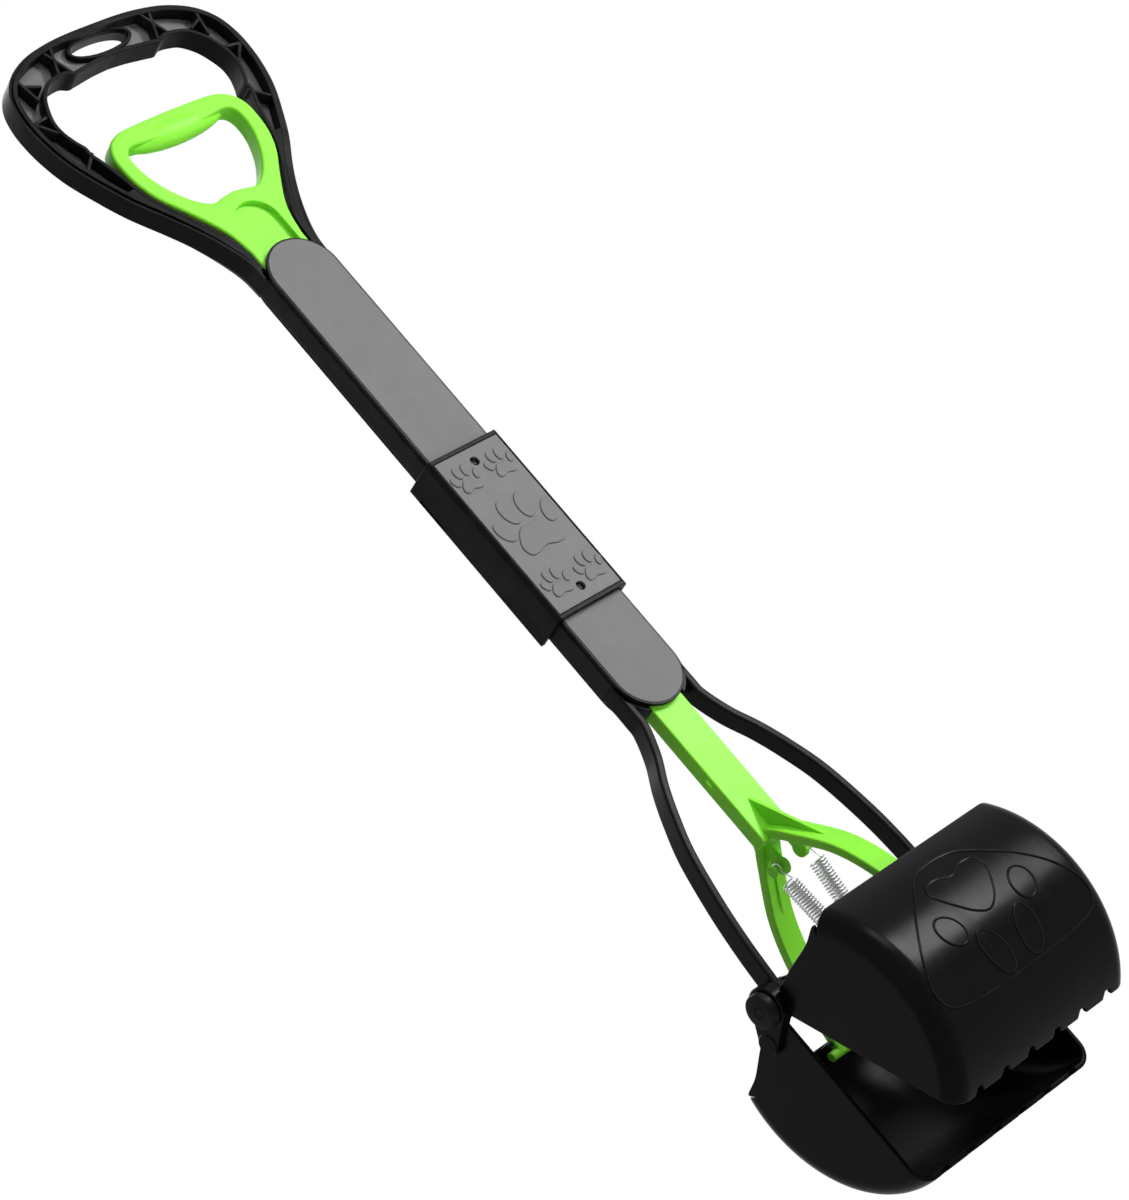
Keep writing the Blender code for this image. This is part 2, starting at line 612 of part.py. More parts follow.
def make_sleeve(shell_finish, face_finish, screw_finish, body):
    """The sliding sleeve: a channel, its bossed front face, a rear bridge and two screws."""
    low, high = HINGE_Z - SLEEVE_LENGTH / 2, HINGE_Z + SLEEVE_LENGTH / 2
    out_x, out_y, in_x, in_y = SLEEVE_OUTER_X, SLEEVE_OUTER_Y, SLEEVE_INNER_X, SLEEVE_INNER_Y
    chamfer = SLEEVE_CHAMFER
    section = [(-out_x, -out_y + chamfer), (-out_x + chamfer, -out_y), (out_x - chamfer, -out_y),
               (out_x, -out_y + chamfer), (out_x, out_y), (in_x, out_y), (in_x, -in_y), (-in_x, -in_y),
               (-in_x, out_y), (-out_x, out_y)]
    shell = prism("sleeve_shell", section, "Z", low, high)
    face_x = out_x - SLEEVE_FACE_BORDER
    face_low, face_high = low + SLEEVE_FACE_BORDER, high - SLEEVE_FACE_BORDER
    face_back = -out_y + SLEEVE_FACE_THICKNESS
    cut(shell, block("face_seat", (-face_x - GAP, face_x + GAP), (-out_y - CUT_OVERRUN, face_back + GAP),
                     (face_low - GAP, face_high + GAP)))
    bridge_low, bridge_high = HINGE_Z + SLEEVE_REAR_START, HINGE_Z + SLEEVE_REAR_END
    cut(shell, block("bridge_seat", (-out_x - CUT_OVERRUN, out_x + CUT_OVERRUN),
                     (in_y - GAP, out_y + CUT_OVERRUN), (bridge_low - GAP, bridge_high + GAP)))
    face = block("sleeve_face", (-face_x, face_x), (-out_y, face_back), (face_low, face_high))
    for number, side in (("upper", 1), ("lower", -1)):
        place = (0.0, HINGE_Z + side * SLEEVE_SCREW_SPACING / 2)
        head_front = -out_y + SCREW_RECESS
        head_back = head_front + SCREW_HEAD_THICKNESS - GAP
        head, shank = SLEEVE_SCREW_RADIUS, SLEEVE_SHANK_RADIUS
        hole = ((head + GAP, -out_y - CUT_OVERRUN), (head + GAP, head_back + GAP),
                (shank + GAP, head_back + GAP), (shank + GAP, -in_y + CUT_OVERRUN))
        cut(face, turned("hole", "Y", hole, place))
        cut(shell, turned("hole", "Y", hole[2:], place))
        screw = ((head, head_front), (head, head_back), (shank, head_back), (shank, -in_y - GAP))
        finish_piece(turned(f"sleeve_screw_{number}", "Y", screw, place), screw_finish, body)
    bridge = block("sleeve_rear_bridge", (-out_x, out_x), (in_y, out_y), (bridge_low, bridge_high))
    finish_piece(shell, shell_finish, body)
    finish_piece(face, face_finish, body)
    finish_piece(bridge, shell_finish, body)


def make_trigger(finish, body):
    """The green D-grip with its rod, down to the two rings of the rod hinge."""
    base = HINGE_Z + TRIGGER_BASE
    half = [(share_x * TRIGGER_HALF_WIDTH, base + share_z * TRIGGER_HEIGHT)
            for share_x, share_z in TRIGGER_SHARES]
    half.append((NECK_HALF_WIDTH, base))
    outline = mirrored(smooth_curve(half))
    neck_low = HINGE_Z + NECK_BOTTOM
    rod_half = ROD_WIDTH / 2
    outline += [(NECK_HALF_WIDTH, neck_low), (-NECK_HALF_WIDTH, neck_low)]
    depth = TRIGGER_DEPTH / 2
    trigger = prism("trigger_handle", outline, "Y", -depth, depth)
    opening = [(share_x * GRIP_OPENING_HALF_WIDTH,
                HINGE_Z + GRIP_OPENING_BASE + share_z * GRIP_OPENING_HEIGHT)
               for share_x, share_z in GRIP_OPENING_SHARES]
    right = smooth_curve(opening)
    left = [Vector((-point.x, point.y)) for point in reversed(right)][1:-1]
    cut(trigger, prism("grip_opening", right + left, "Y", -depth - CUT_OVERRUN, depth + CUT_OVERRUN))
    round_edges(trigger, TRIGGER_ROUNDING, 2, CORNER_ANGLE)

    grip_shape = bmesh.new()
    bmesh.ops.create_uvsphere(grip_shape, u_segments=GRIP_SEGMENTS, v_segments=GRIP_RINGS, radius=1.0)
    stretch = Matrix.Diagonal((GRIP_HALF_LENGTH, GRIP_RADIUS_Y, GRIP_RADIUS_Z, 1.0))
    lift = Matrix.Translation((0.0, 0.0, HINGE_Z + GRIP_HEIGHT))
    along_x = Matrix.Rotation(math.pi / 2, 4, "Y")
    bmesh.ops.transform(grip_shape, matrix=lift @ stretch @ along_x, verts=grip_shape.verts[:])
    join(trigger, add_solid("grip", grip_shape))

    dish_low = neck_low + ROD_WIDTH / 2
    dish = cover_outline(dish_low, HINGE_Z + DISH_TOP, DISH_HALF_WIDTH * 2)
    cut(trigger, prism("dish", dish, "Y", -depth - CUT_OVERRUN, -depth + DISH_DEPTH))

    rod_depth = ROD_DEPTH / 2
    rod_low = HINGE_Z + ROD_END
    join(trigger, block("rod", (-rod_half, rod_half), (-rod_depth, rod_depth),
                        (rod_low, neck_low + ROD_DEPTH / 2)))
    prong_inner = KNUCKLE_HALF_WIDTH + RUNNING_GAP
    prong_view = [(-rod_depth, rod_low + ROD_END / 2), (-rod_depth, rod_low - ROD_END / 2),
                  (HINGE_BACKSET - KNUCKLE_RADIUS + GAP, HINGE_Z), (HINGE_BACKSET, HINGE_Z),
                  (rod_depth, rod_low), (rod_depth, rod_low + ROD_END / 2)]
    for side in (-1, 1):
        span = sorted((side * prong_inner, side * rod_half))
        ring = drum("ring", "X", KNUCKLE_RADIUS, span[0], span[1], (HINGE_BACKSET, HINGE_Z))
        join(ring, prism("prong", prong_view, "X", span[0], span[1]))
        join(trigger, ring)
    cut(trigger, drum("pin_bore", "X", ROD_PIN_RADIUS + GAP, -rod_half - CUT_OVERRUN, rod_half + CUT_OVERRUN,
                      (HINGE_BACKSET, HINGE_Z), SMALL_SEGMENTS))
    return finish_piece(trigger, finish, body)


def make_rod_knuckle(knuckle_finish, pin_finish, body):
    """The grey centre knuckle of the rod hinge and the pin it turns on."""
    knuckle = drum("rod_knuckle", "X", KNUCKLE_RADIUS, -KNUCKLE_HALF_WIDTH, KNUCKLE_HALF_WIDTH,
                   (HINGE_BACKSET, HINGE_Z))
    cut(knuckle, drum("knuckle_bore", "X", ROD_PIN_RADIUS + GAP, -KNUCKLE_HALF_WIDTH - CUT_OVERRUN,
                      KNUCKLE_HALF_WIDTH + CUT_OVERRUN, (HINGE_BACKSET, HINGE_Z), SMALL_SEGMENTS))
    finish_piece(knuckle, knuckle_finish, body)
    pin = drum("rod_pin", "X", ROD_PIN_RADIUS, -ROD_WIDTH / 2, ROD_WIDTH / 2, (HINGE_BACKSET, HINGE_Z),
               SMALL_SEGMENTS)
    finish_piece(pin, pin_finish, body)


def arm_outline():
    """The right-hand arm as a bent strip, in X and Z."""
    drop = PIVOT_DROP - LOWER_COVER_DROP
    top = HINGE_Z - LOWER_COVER_DROP
    centre = smooth_curve([(share_x * ARM_CENTRE_X, top - share_z * drop) for share_x, share_z in ARM_SHARES])
    return offset_curve(centre, ARM_WIDTH / 2) + list(reversed(offset_curve(centre, -ARM_WIDTH / 2)))


def make_rail(name, side, finish, body):
    """One side rail of the lower frame: leg, inner hinge ear, rounded end flange and jaw arm."""
    depth = FRAME_DEPTH / 2
    leg_low = HINGE_Z - LOWER_COVER_DROP + COVER_WIDTH / 2
    side_view = [(-depth, HINGE_Z - SHAFT_JOINT_GAP), (HINGE_BACKSET, HINGE_Z - SHAFT_JOINT_GAP),
                 (depth, HINGE_Z - FOLD_RELIEF), (depth, leg_low), (-depth, leg_low)]
    span = sorted((side * LEG_INNER, side * LEG_OUTER))
    rail = prism(name, side_view, "X", span[0], span[1])
    cut(rail, drum("ear_relief", "X", EAR_RADIUS + RUNNING_GAP + GAP, span[0] - CUT_OVERRUN,
                   span[1] + CUT_OVERRUN, (HINGE_BACKSET, HINGE_Z)))

    inner = COVER_WIDTH / 2 - LEG_WALL
    outer = COVER_WIDTH / 2 + RAIL_END_WALL / 2
    rod_side = ROD_WIDTH / 2 + ROD_SLOT_CLEARANCE
    ring = []
    last_inner = math.acos(rod_side / inner)
    last_outer = math.acos(rod_side / outer)
    steps = SMALL_SEGMENTS // 2
    for step in range(steps + 1):
        turn = last_outer * step / steps
        ring.append((side * outer * math.cos(turn), leg_low + GAP - outer * math.sin(turn)))
    for step in range(steps + 1):
        turn = last_inner * (steps - step) / steps
        ring.append((side * inner * math.cos(turn), leg_low + GAP - inner * math.sin(turn)))
    join(rail, prism("end_flange", ring, "Y", -depth, depth))

    strip = [(side * point.x, point.y) for point in arm_outline()]
    join(rail, prism("arm", strip, "Y", -depth, depth))
    eye_span = sorted((side * EYE_INNER_X, side * EYE_OUTER_X))
    join(rail, drum("eye", "X", ARM_EYE_RADIUS, eye_span[0], eye_span[1], (PIVOT_BACKSET, PIVOT_Z)))
    cut(rail, drum("eye_bore", "X", AXLE_BORE, eye_span[0] - CUT_OVERRUN, eye_span[1] + CUT_OVERRUN,
                   (PIVOT_BACKSET, PIVOT_Z), SMALL_SEGMENTS))

    ear_span = sorted((side * EAR_INNER, side * (EAR_INNER + EAR_WALL)))
    ear = drum("inner_ear", "X", EAR_RADIUS, ear_span[0], ear_span[1], (HINGE_BACKSET, HINGE_Z))
    shank_low = HINGE_Z - 2 * FOLD_RELIEF
    shank = [(HINGE_BACKSET - EAR_RADIUS, HINGE_Z), (depth, HINGE_Z - FOLD_RELIEF), (depth, shank_low),
             (HINGE_BACKSET - EAR_RADIUS, shank_low)]
    join(ear, prism("shank", shank, "X", ear_span[0], ear_span[1]))
    foot_span = sorted((side * (EAR_INNER + EAR_WALL / 2), side * (LEG_INNER + LEG_WALL / 2)))
    join(ear, block("ear_foot", foot_span, (HINGE_BACKSET - EAR_RADIUS + GAP, depth - GAP),
                    (shank_low + GAP, HINGE_Z - FOLD_RELIEF - EAR_WALL)))
    join(rail, ear)
    cut(rail, drum("ear_bore", "X", HINGE_PIN_RADIUS + GAP, ear_span[0] - CUT_OVERRUN,
                   ear_span[1] + CUT_OVERRUN, (HINGE_BACKSET, HINGE_Z), SMALL_SEGMENTS))
    for x_place, z_place in screw_places([-drop for drop in LOWER_SCREW_DROPS]):
        if x_place * side > 0:
            join(rail, drum("boss", "Y", BOSS_RADIUS, GAP - depth, depth - GAP, (x_place, z_place),
                            SMALL_SEGMENTS))
            cut(rail, drum("bore", "Y", SCREW_SHANK_RADIUS + GAP, COVER_OUTER_Y - SCREW_LENGTH - GAP,
                           depth + CUT_OVERRUN, (x_place, z_place), SMALL_SEGMENTS))
    return finish_piece(rail, finish, body)


def make_lower_rod(finish, body):
    """The green rod of the lower half with its fork, gussets, feet and spring posts."""
    rod_half, depth = ROD_WIDTH / 2, ROD_DEPTH / 2
    top = HINGE_Z - LOWER_ROD_TOP
    crotch = HINGE_Z - FORK_CROTCH_DROP
    rod = block("lower_rod", (-rod_half, rod_half), (-depth, depth), (crotch - ROD_DEPTH / 2, top))
    round_edges(rod, ROD_ROUNDING, 1, CORNER_ANGLE)
    cut(rod, block("back_relief", (-rod_half - CUT_OVERRUN, rod_half + CUT_OVERRUN),
                   (depth - LOWER_ROD_BACK_RELIEF, depth + CUT_OVERRUN),
                   (top - LOWER_ROD_RELIEF_LENGTH, top + CUT_OVERRUN)))
    cut(rod, drum("knuckle_seat", "X", KNUCKLE_RADIUS + RUNNING_GAP, -rod_half - CUT_OVERRUN,
                  rod_half + CUT_OVERRUN, (HINGE_BACKSET, HINGE_Z)))

    centre = smooth_curve([(share_y * FORK_SPREAD, crotch - share_z * FORK_DROP)
                           for share_y, share_z in FORK_SHARES], CURVE_STEPS // 2)
    strap = offset_curve(centre, FORK_STRAP_THICKNESS / 2) + list(
        reversed(offset_curve(centre, -FORK_STRAP_THICKNESS / 2)))
    strap_half = FORK_STRAP_WIDTH / 2
    for side in (-1, 1):
        outline = [(side * point.x + PIVOT_BACKSET * ((crotch - point.y) / FORK_DROP) ** 4, point.y)
                   for point in strap]
        join(rod, prism("strap", outline, "X", -strap_half, strap_half))
        foot_z = crotch - FORK_DROP
        join(rod, drum("foot", "X", FOOT_RADIUS, -FOOT_LENGTH / 2, FOOT_LENGTH / 2,
                       (side * FORK_SPREAD + PIVOT_BACKSET, foot_z), SMALL_SEGMENTS))
        low_point = at_share(centre, GUSSET_END_SHARE)
        fin = [(0.0, HINGE_Z - GUSSET_TOP_DROP), (side * depth, HINGE_Z - GUSSET_TOP_DROP),
               (side * (low_point.x + FORK_STRAP_THICKNESS / 3), low_point.y),
               (side * low_point.x, low_point.y), (0.0, crotch - GAP)]
        join(rod, prism("gusset", fin, "X", -GUSSET_THICKNESS / 2, GUSSET_THICKNESS / 2))
        post_y = side * SPRING_POST_BACKSET
        post_z = HINGE_Z - SPRING_POST_DROP
        x_side = -side
        post_end = SPRING_OFFSET + TOP_HOOK_RADIUS
        stations = ((SPRING_BOSS_RADIUS, SPRING_BOSS_START), (SPRING_BOSS_RADIUS, SPRING_BOSS_END),
                    (SPRING_POST_RADIUS, SPRING_BOSS_END), (SPRING_POST_RADIUS, post_end),
                    (SPRING_FLANGE_RADIUS, post_end),
                    (SPRING_FLANGE_RADIUS, post_end + SPRING_FLANGE_THICKNESS))
        placed = [(radius, x_side * station) for radius, station in stations]
        join(rod, turned("post", "X", placed, (post_y, post_z)))
        boss_span = sorted((x_side * SPRING_BOSS_START, x_side * SPRING_BOSS_END))
        web_half = SPRING_BOSS_RADIUS * 2 / 3
        join(rod, block("post_web", boss_span, (post_y - web_half, post_y + web_half),
                        (post_z, crotch + ROD_DEPTH / 2)))
        tab = sorted((side * (rod_half - GAP), side * (rod_half + STOP_TAB_STANDOUT)))
        tab_z = HINGE_Z - STOP_TAB_DROP
        join(rod, block("stop_tab", tab, (-STOP_TAB_WIDTH / 2, STOP_TAB_WIDTH / 2),
                        (tab_z - STOP_TAB_LENGTH, tab_z)))
    return finish_piece(rod, finish, body)


def jaw_outline(parting):
    """Side outline of a closed jaw, in distance from the parting plane and height over the pivot."""
    centre = (-JAW_ARC_CENTRE_OFFSET, -JAW_ARC_CENTRE_DROP)
    start_turn = math.asin((parting - centre[0]) / JAW_ARC_RADIUS)
    end_turn = math.pi / 2
    steps = ARC_SEGMENTS
    outline = []
    for step in range(steps + 1):
        turn = start_turn + (end_turn - start_turn) * step / steps
        outline.append((centre[0] + JAW_ARC_RADIUS * math.sin(turn),
                        centre[1] - JAW_ARC_RADIUS * math.cos(turn)))
    outline.append((JAW_TOP_OUT, -JAW_TOP_DROP))
    return outline


def jaw_cavity(wall, parting):
    """Outline of the jaw's hollow, open towards the parting plane and the top."""
    centre = (-JAW_ARC_CENTRE_OFFSET, -JAW_ARC_CENTRE_DROP)
    radius = JAW_ARC_RADIUS - wall
    start_turn = math.asin((parting - CUT_OVERRUN * 2 - centre[0]) / radius)
    steps = ARC_SEGMENTS
    outline = [(parting - CUT_OVERRUN * 2, JAW_EAR_REACH)]
    for step in range(steps + 1):
        turn = start_turn + (math.pi / 2 - start_turn) * step / steps
        outline.append((centre[0] + radius * math.sin(turn), centre[1] - radius * math.cos(turn)))
    outline.append((JAW_TOP_OUT - wall, -JAW_TOP_DROP))
    outline.append((JAW_TOP_OUT - wall, JAW_EAR_REACH))
    return outline


def make_jaw(name, side, ear_spans, ear_radius, bore, finish, body):
    """One jaw: a curved shell with side panels, toothed edge, hinge ears and lips for the fork foot.

    It is built closed, about its pivot; side is -1 for the front jaw and +1 for the rear one.
    """
    parting = PARTING_GAP / 2
    outline = jaw_outline(parting)
    outline += [(share_out * JAW_TOP_OUT, -share_drop * JAW_TOP_DROP)
                for share_out, share_drop in JAW_TOP_EDGE_SHARES]
    outline.append((parting, 0.0))
    half = JAW_HALF_WIDTH
    jaw = prism(name, [(side * out, up) for out, up in outline], "X", -half, half)
    round_shell_corners(jaw, side, half, JAW_EDGE_ROUNDING)
    inside = half - JAW_WALL
    cavity = prism("cavity", [(side * out, up) for out, up in jaw_cavity(JAW_WALL, parting)], "X",
                   -inside, inside)
    round_shell_corners(cavity, side, inside, JAW_EDGE_ROUNDING - JAW_WALL)
    cut(jaw, cavity)
    for end in (-1, 1):
        span = sorted((end * (inside - CUT_OVERRUN), end * (half + CUT_OVERRUN)))
        cut(jaw, drum("pivot_relief", "X", JAW_PIVOT_RELIEF, span[0], span[1], (0.0, 0.0)))

    reach = JAW_EAR_REACH
    for end in (-1, 1):
        low, high = sorted((end * ear_spans[0], end * ear_spans[1]))
        ear = drum("ear", "X", ear_radius, low, high, (0.0, 0.0))
        lean = math.radians(JAW_EAR_LEAN_DEG)
        foot = (side * reach * math.cos(lean), -reach * math.sin(lean))
        across = Vector((foot[1], -foot[0])).normalized()
        web = [Vector((0.0, 0.0)) + across * ear_radius, Vector(foot) + across * JAW_EAR_FOOT_RADIUS,
               Vector(foot) - across * JAW_EAR_FOOT_RADIUS, Vector((0.0, 0.0)) - across * ear_radius]
        join(ear, prism("ear_web", [(point.x, point.y) for point in web], "X", low, high))
        near, far = sorted((end * min(ear_spans[0], inside + JAW_WALL / 2),
                            end * max(ear_spans[1], inside + JAW_WALL / 2)))
        join(ear, drum("ear_foot", "X", JAW_EAR_FOOT_RADIUS, near, far, foot))
        join(jaw, ear)
        cut(jaw, drum("ear_bore", "X", bore, low - CUT_OVERRUN, high + CUT_OVERRUN, (0.0, 0.0),
                      SMALL_SEGMENTS))

    wall_inner = JAW_TOP_OUT - JAW_WALL
    slot = FORK_STRAP_WIDTH / 2 + STRAP_CLEARANCE
    under = -FORK_FOOT_DROP + FOOT_RADIUS + LIP_GAP
    for end in (-1, 1):
        x_span = sorted((end * slot, end * (slot + LIP_LENGTH)))
        y_span = sorted((side * LIP_TIP, side * (wall_inner + JAW_WALL / 2)))
        join(jaw, block("lip", x_span, y_span, (under, under + LIP_THICKNESS)))
    notch_y = sorted((side * (wall_inner - CUT_OVERRUN), side * (JAW_TOP_OUT + CUT_OVERRUN)))
    cut(jaw, block("foot_notch", (-slot, slot), notch_y,
                   (-JAW_TOP_DROP - FOOT_NOTCH_DEPTH, -JAW_TOP_DROP + CUT_OVERRUN)))

    for number in range(TOOTH_NOTCH_COUNT):
        x_place = (number - (TOOTH_NOTCH_COUNT - 1) / 2) * TOOTH_NOTCH_PITCH
        notch = [(x_place - TOOTH_NOTCH_WIDTH / 2, 0.0), (x_place + TOOTH_NOTCH_WIDTH / 2, 0.0),
                 (x_place + TOOTH_NOTCH_WIDTH / 4, TOOTH_NOTCH_DEPTH),
                 (x_place - TOOTH_NOTCH_WIDTH / 4, TOOTH_NOTCH_DEPTH)]
        tool_outline = [(x, side * (out + parting - TOOTH_NOTCH_INSET)) for x, out in notch]
        cut(jaw, prism("tooth_notch", tool_outline, "Z", -JAW_REACH - CUT_OVERRUN,
                       -JAW_REACH + JAW_WALL * 2))
    jaw.data.transform(Matrix.Translation(body.location))
    return finish_piece(jaw, finish, body)


def round_shell_corners(solid, side, half, width):
    """Round the long curved edges between a jaw's shell and its side panels."""
    shape = bmesh.new()
    shape.from_mesh(solid.data)
    edges = []
    for edge in shape.edges:
        first, second = edge.verts
        on_side = abs(abs(first.co.x) - half) < GAP / 3 and abs(first.co.x - second.co.x) < GAP / 3
        middle = (first.co + second.co) / 2
        out, up = side * middle.y, middle.z
        reach = math.hypot(out + JAW_ARC_CENTRE_OFFSET, up + JAW_ARC_CENTRE_DROP)
        on_arc = up < -JAW_TOP_DROP and reach > JAW_ARC_RADIUS - CORNER_BAND
        upright = out > JAW_TOP_OUT - CORNER_BAND
        if on_side and (on_arc or upright):
            edges.append(edge)
    bmesh.ops.bevel(shape, geom=edges, offset=width, offset_type="OFFSET", segments=3, profile=0.5,
                    affect="EDGES", clamp_overlap=True)
    shape.to_mesh(solid.data)
    shape.free()


def make_axle(axle_finish, cap_finish, bush_finish, body, bush_body):
    """The jaw axle, its two end caps and the two bushes that the front jaw hangs on."""
    end = REAR_EAR_OUTER + AXLE_CAP_THICKNESS - AXLE_CAP_RECESS
    axle = drum("jaw_axle", "X", AXLE_RADIUS, -end, end, (PIVOT_BACKSET, PIVOT_Z), SMALL_SEGMENTS)
    finish_piece(axle, axle_finish, body)
    for name, side in (("axle_cap_left", -1), ("axle_cap_right", 1)):
        near = REAR_EAR_OUTER + RUNNING_GAP
        far = near + AXLE_CAP_THICKNESS
        span = sorted((side * near, side * far))
        cap = drum(name, "X", AXLE_CAP_RADIUS, span[0], span[1], (PIVOT_BACKSET, PIVOT_Z), ROUND_SEGMENTS)
        bore = sorted((side * (near - CUT_OVERRUN), side * (end + GAP)))
        cut(cap, drum("cap_bore", "X", AXLE_BORE, bore[0], bore[1], (PIVOT_BACKSET, PIVOT_Z), SMALL_SEGMENTS))
        finish_piece(cap, cap_finish, body)
    for name, side in (("front_jaw_bush_left", -1), ("front_jaw_bush_right", 1)):
        span = sorted((side * FRONT_EAR_INNER, side * FRONT_EAR_OUTER))
        bush = drum(name, "X", AXLE_BORE + BUSH_WALL, span[0], span[1], (PIVOT_BACKSET, PIVOT_Z),
                    SMALL_SEGMENTS)
        cut(bush, drum("bush_bore", "X", AXLE_BORE, span[0] - CUT_OVERRUN, span[1] + CUT_OVERRUN,
                       (PIVOT_BACKSET, PIVOT_Z), SMALL_SEGMENTS))
        finish_piece(bush, bush_finish, bush_body)


def spring_route(side):
    """Centre line of one extension spring: top hook, close coil and foot hook."""
    x_place = side * SPRING_OFFSET
    top = Vector((x_place, -side * SPRING_POST_BACKSET, HINGE_Z - SPRING_POST_DROP))
    foot = Vector((x_place, PIVOT_BACKSET, PIVOT_Z))
    axis = (foot - top).normalized()
    across = Vector((1.0, 0.0, 0.0))
    outward = axis.cross(across)
    route = []
    for step in range(HOOK_STEPS + 1):
        turn = math.radians(TOP_HOOK_START_DEG - TOP_HOOK_SWEEP_DEG * step / HOOK_STEPS)
        route.append(top + (outward * math.cos(turn) - axis * math.sin(turn)) * TOP_HOOK_RADIUS)
    route = [point for point in route if (point - top).dot(axis) < TOP_HOOK_RADIUS * TOP_HOOK_END_SHARE]
    coil_top = top + axis * SPRING_TOP_TAIL
    coil_length = (foot - top).length - SPRING_TOP_TAIL - SPRING_FOOT_TAIL
    steps = SPRING_TURNS * SPRING_STEPS_PER_TURN
    for step in range(steps + 1):
        turn = 2 * math.pi * step / SPRING_STEPS_PER_TURN
        reach = outward * math.cos(turn) + across * side * math.sin(turn)
        route.append(coil_top + reach * SPRING_RADIUS + axis * coil_length * step / steps)
    for step in range(HOOK_STEPS + 1):
        turn = math.radians(FOOT_HOOK_START_DEG + FOOT_HOOK_SWEEP_DEG * step / HOOK_STEPS)
        route.append(foot + (outward * math.cos(turn) - axis * math.sin(turn)) * FOOT_HOOK_RADIUS)
    return route


def least_self_gap(route):
    """Smallest clear distance between stretches of the wire that aren't neighbours."""
    skip = SPRING_STEPS_PER_TURN // 2
    least = math.inf
    for first in range(len(route)):
        for second in range(first + skip, len(route)):
            least = min(least, (route[first] - route[second]).length)
    return least - 2 * SPRING_WIRE_RADIUS


def make_spring(name, side, finish, body):
    """One coil spring as an unbroken tube."""
    route = spring_route(side)
    gap = least_self_gap(route)
    print(f"{name}: least gap to itself {gap * 1000:.2f} mm")
    if gap < SPRING_GAP_FLOOR:
        raise ValueError("spring turns are too close")
    curve = bpy.data.curves.new(name, "CURVE")
    curve.dimensions = "3D"
    curve.bevel_depth = SPRING_WIRE_RADIUS
    curve.bevel_resolution = 1
    curve.use_fill_caps = True
    line = curve.splines.new("POLY")
    line.points.add(len(route) - 1)
    for knot, place in zip(line.points, route):
        knot.co = (*(place - body.location), 1.0)
    curve.materials.append(finish)
    spring = bpy.data.objects.new(name, curve)
    spring.parent = body
    bpy.context.scene.collection.objects.link(spring)
    return spring


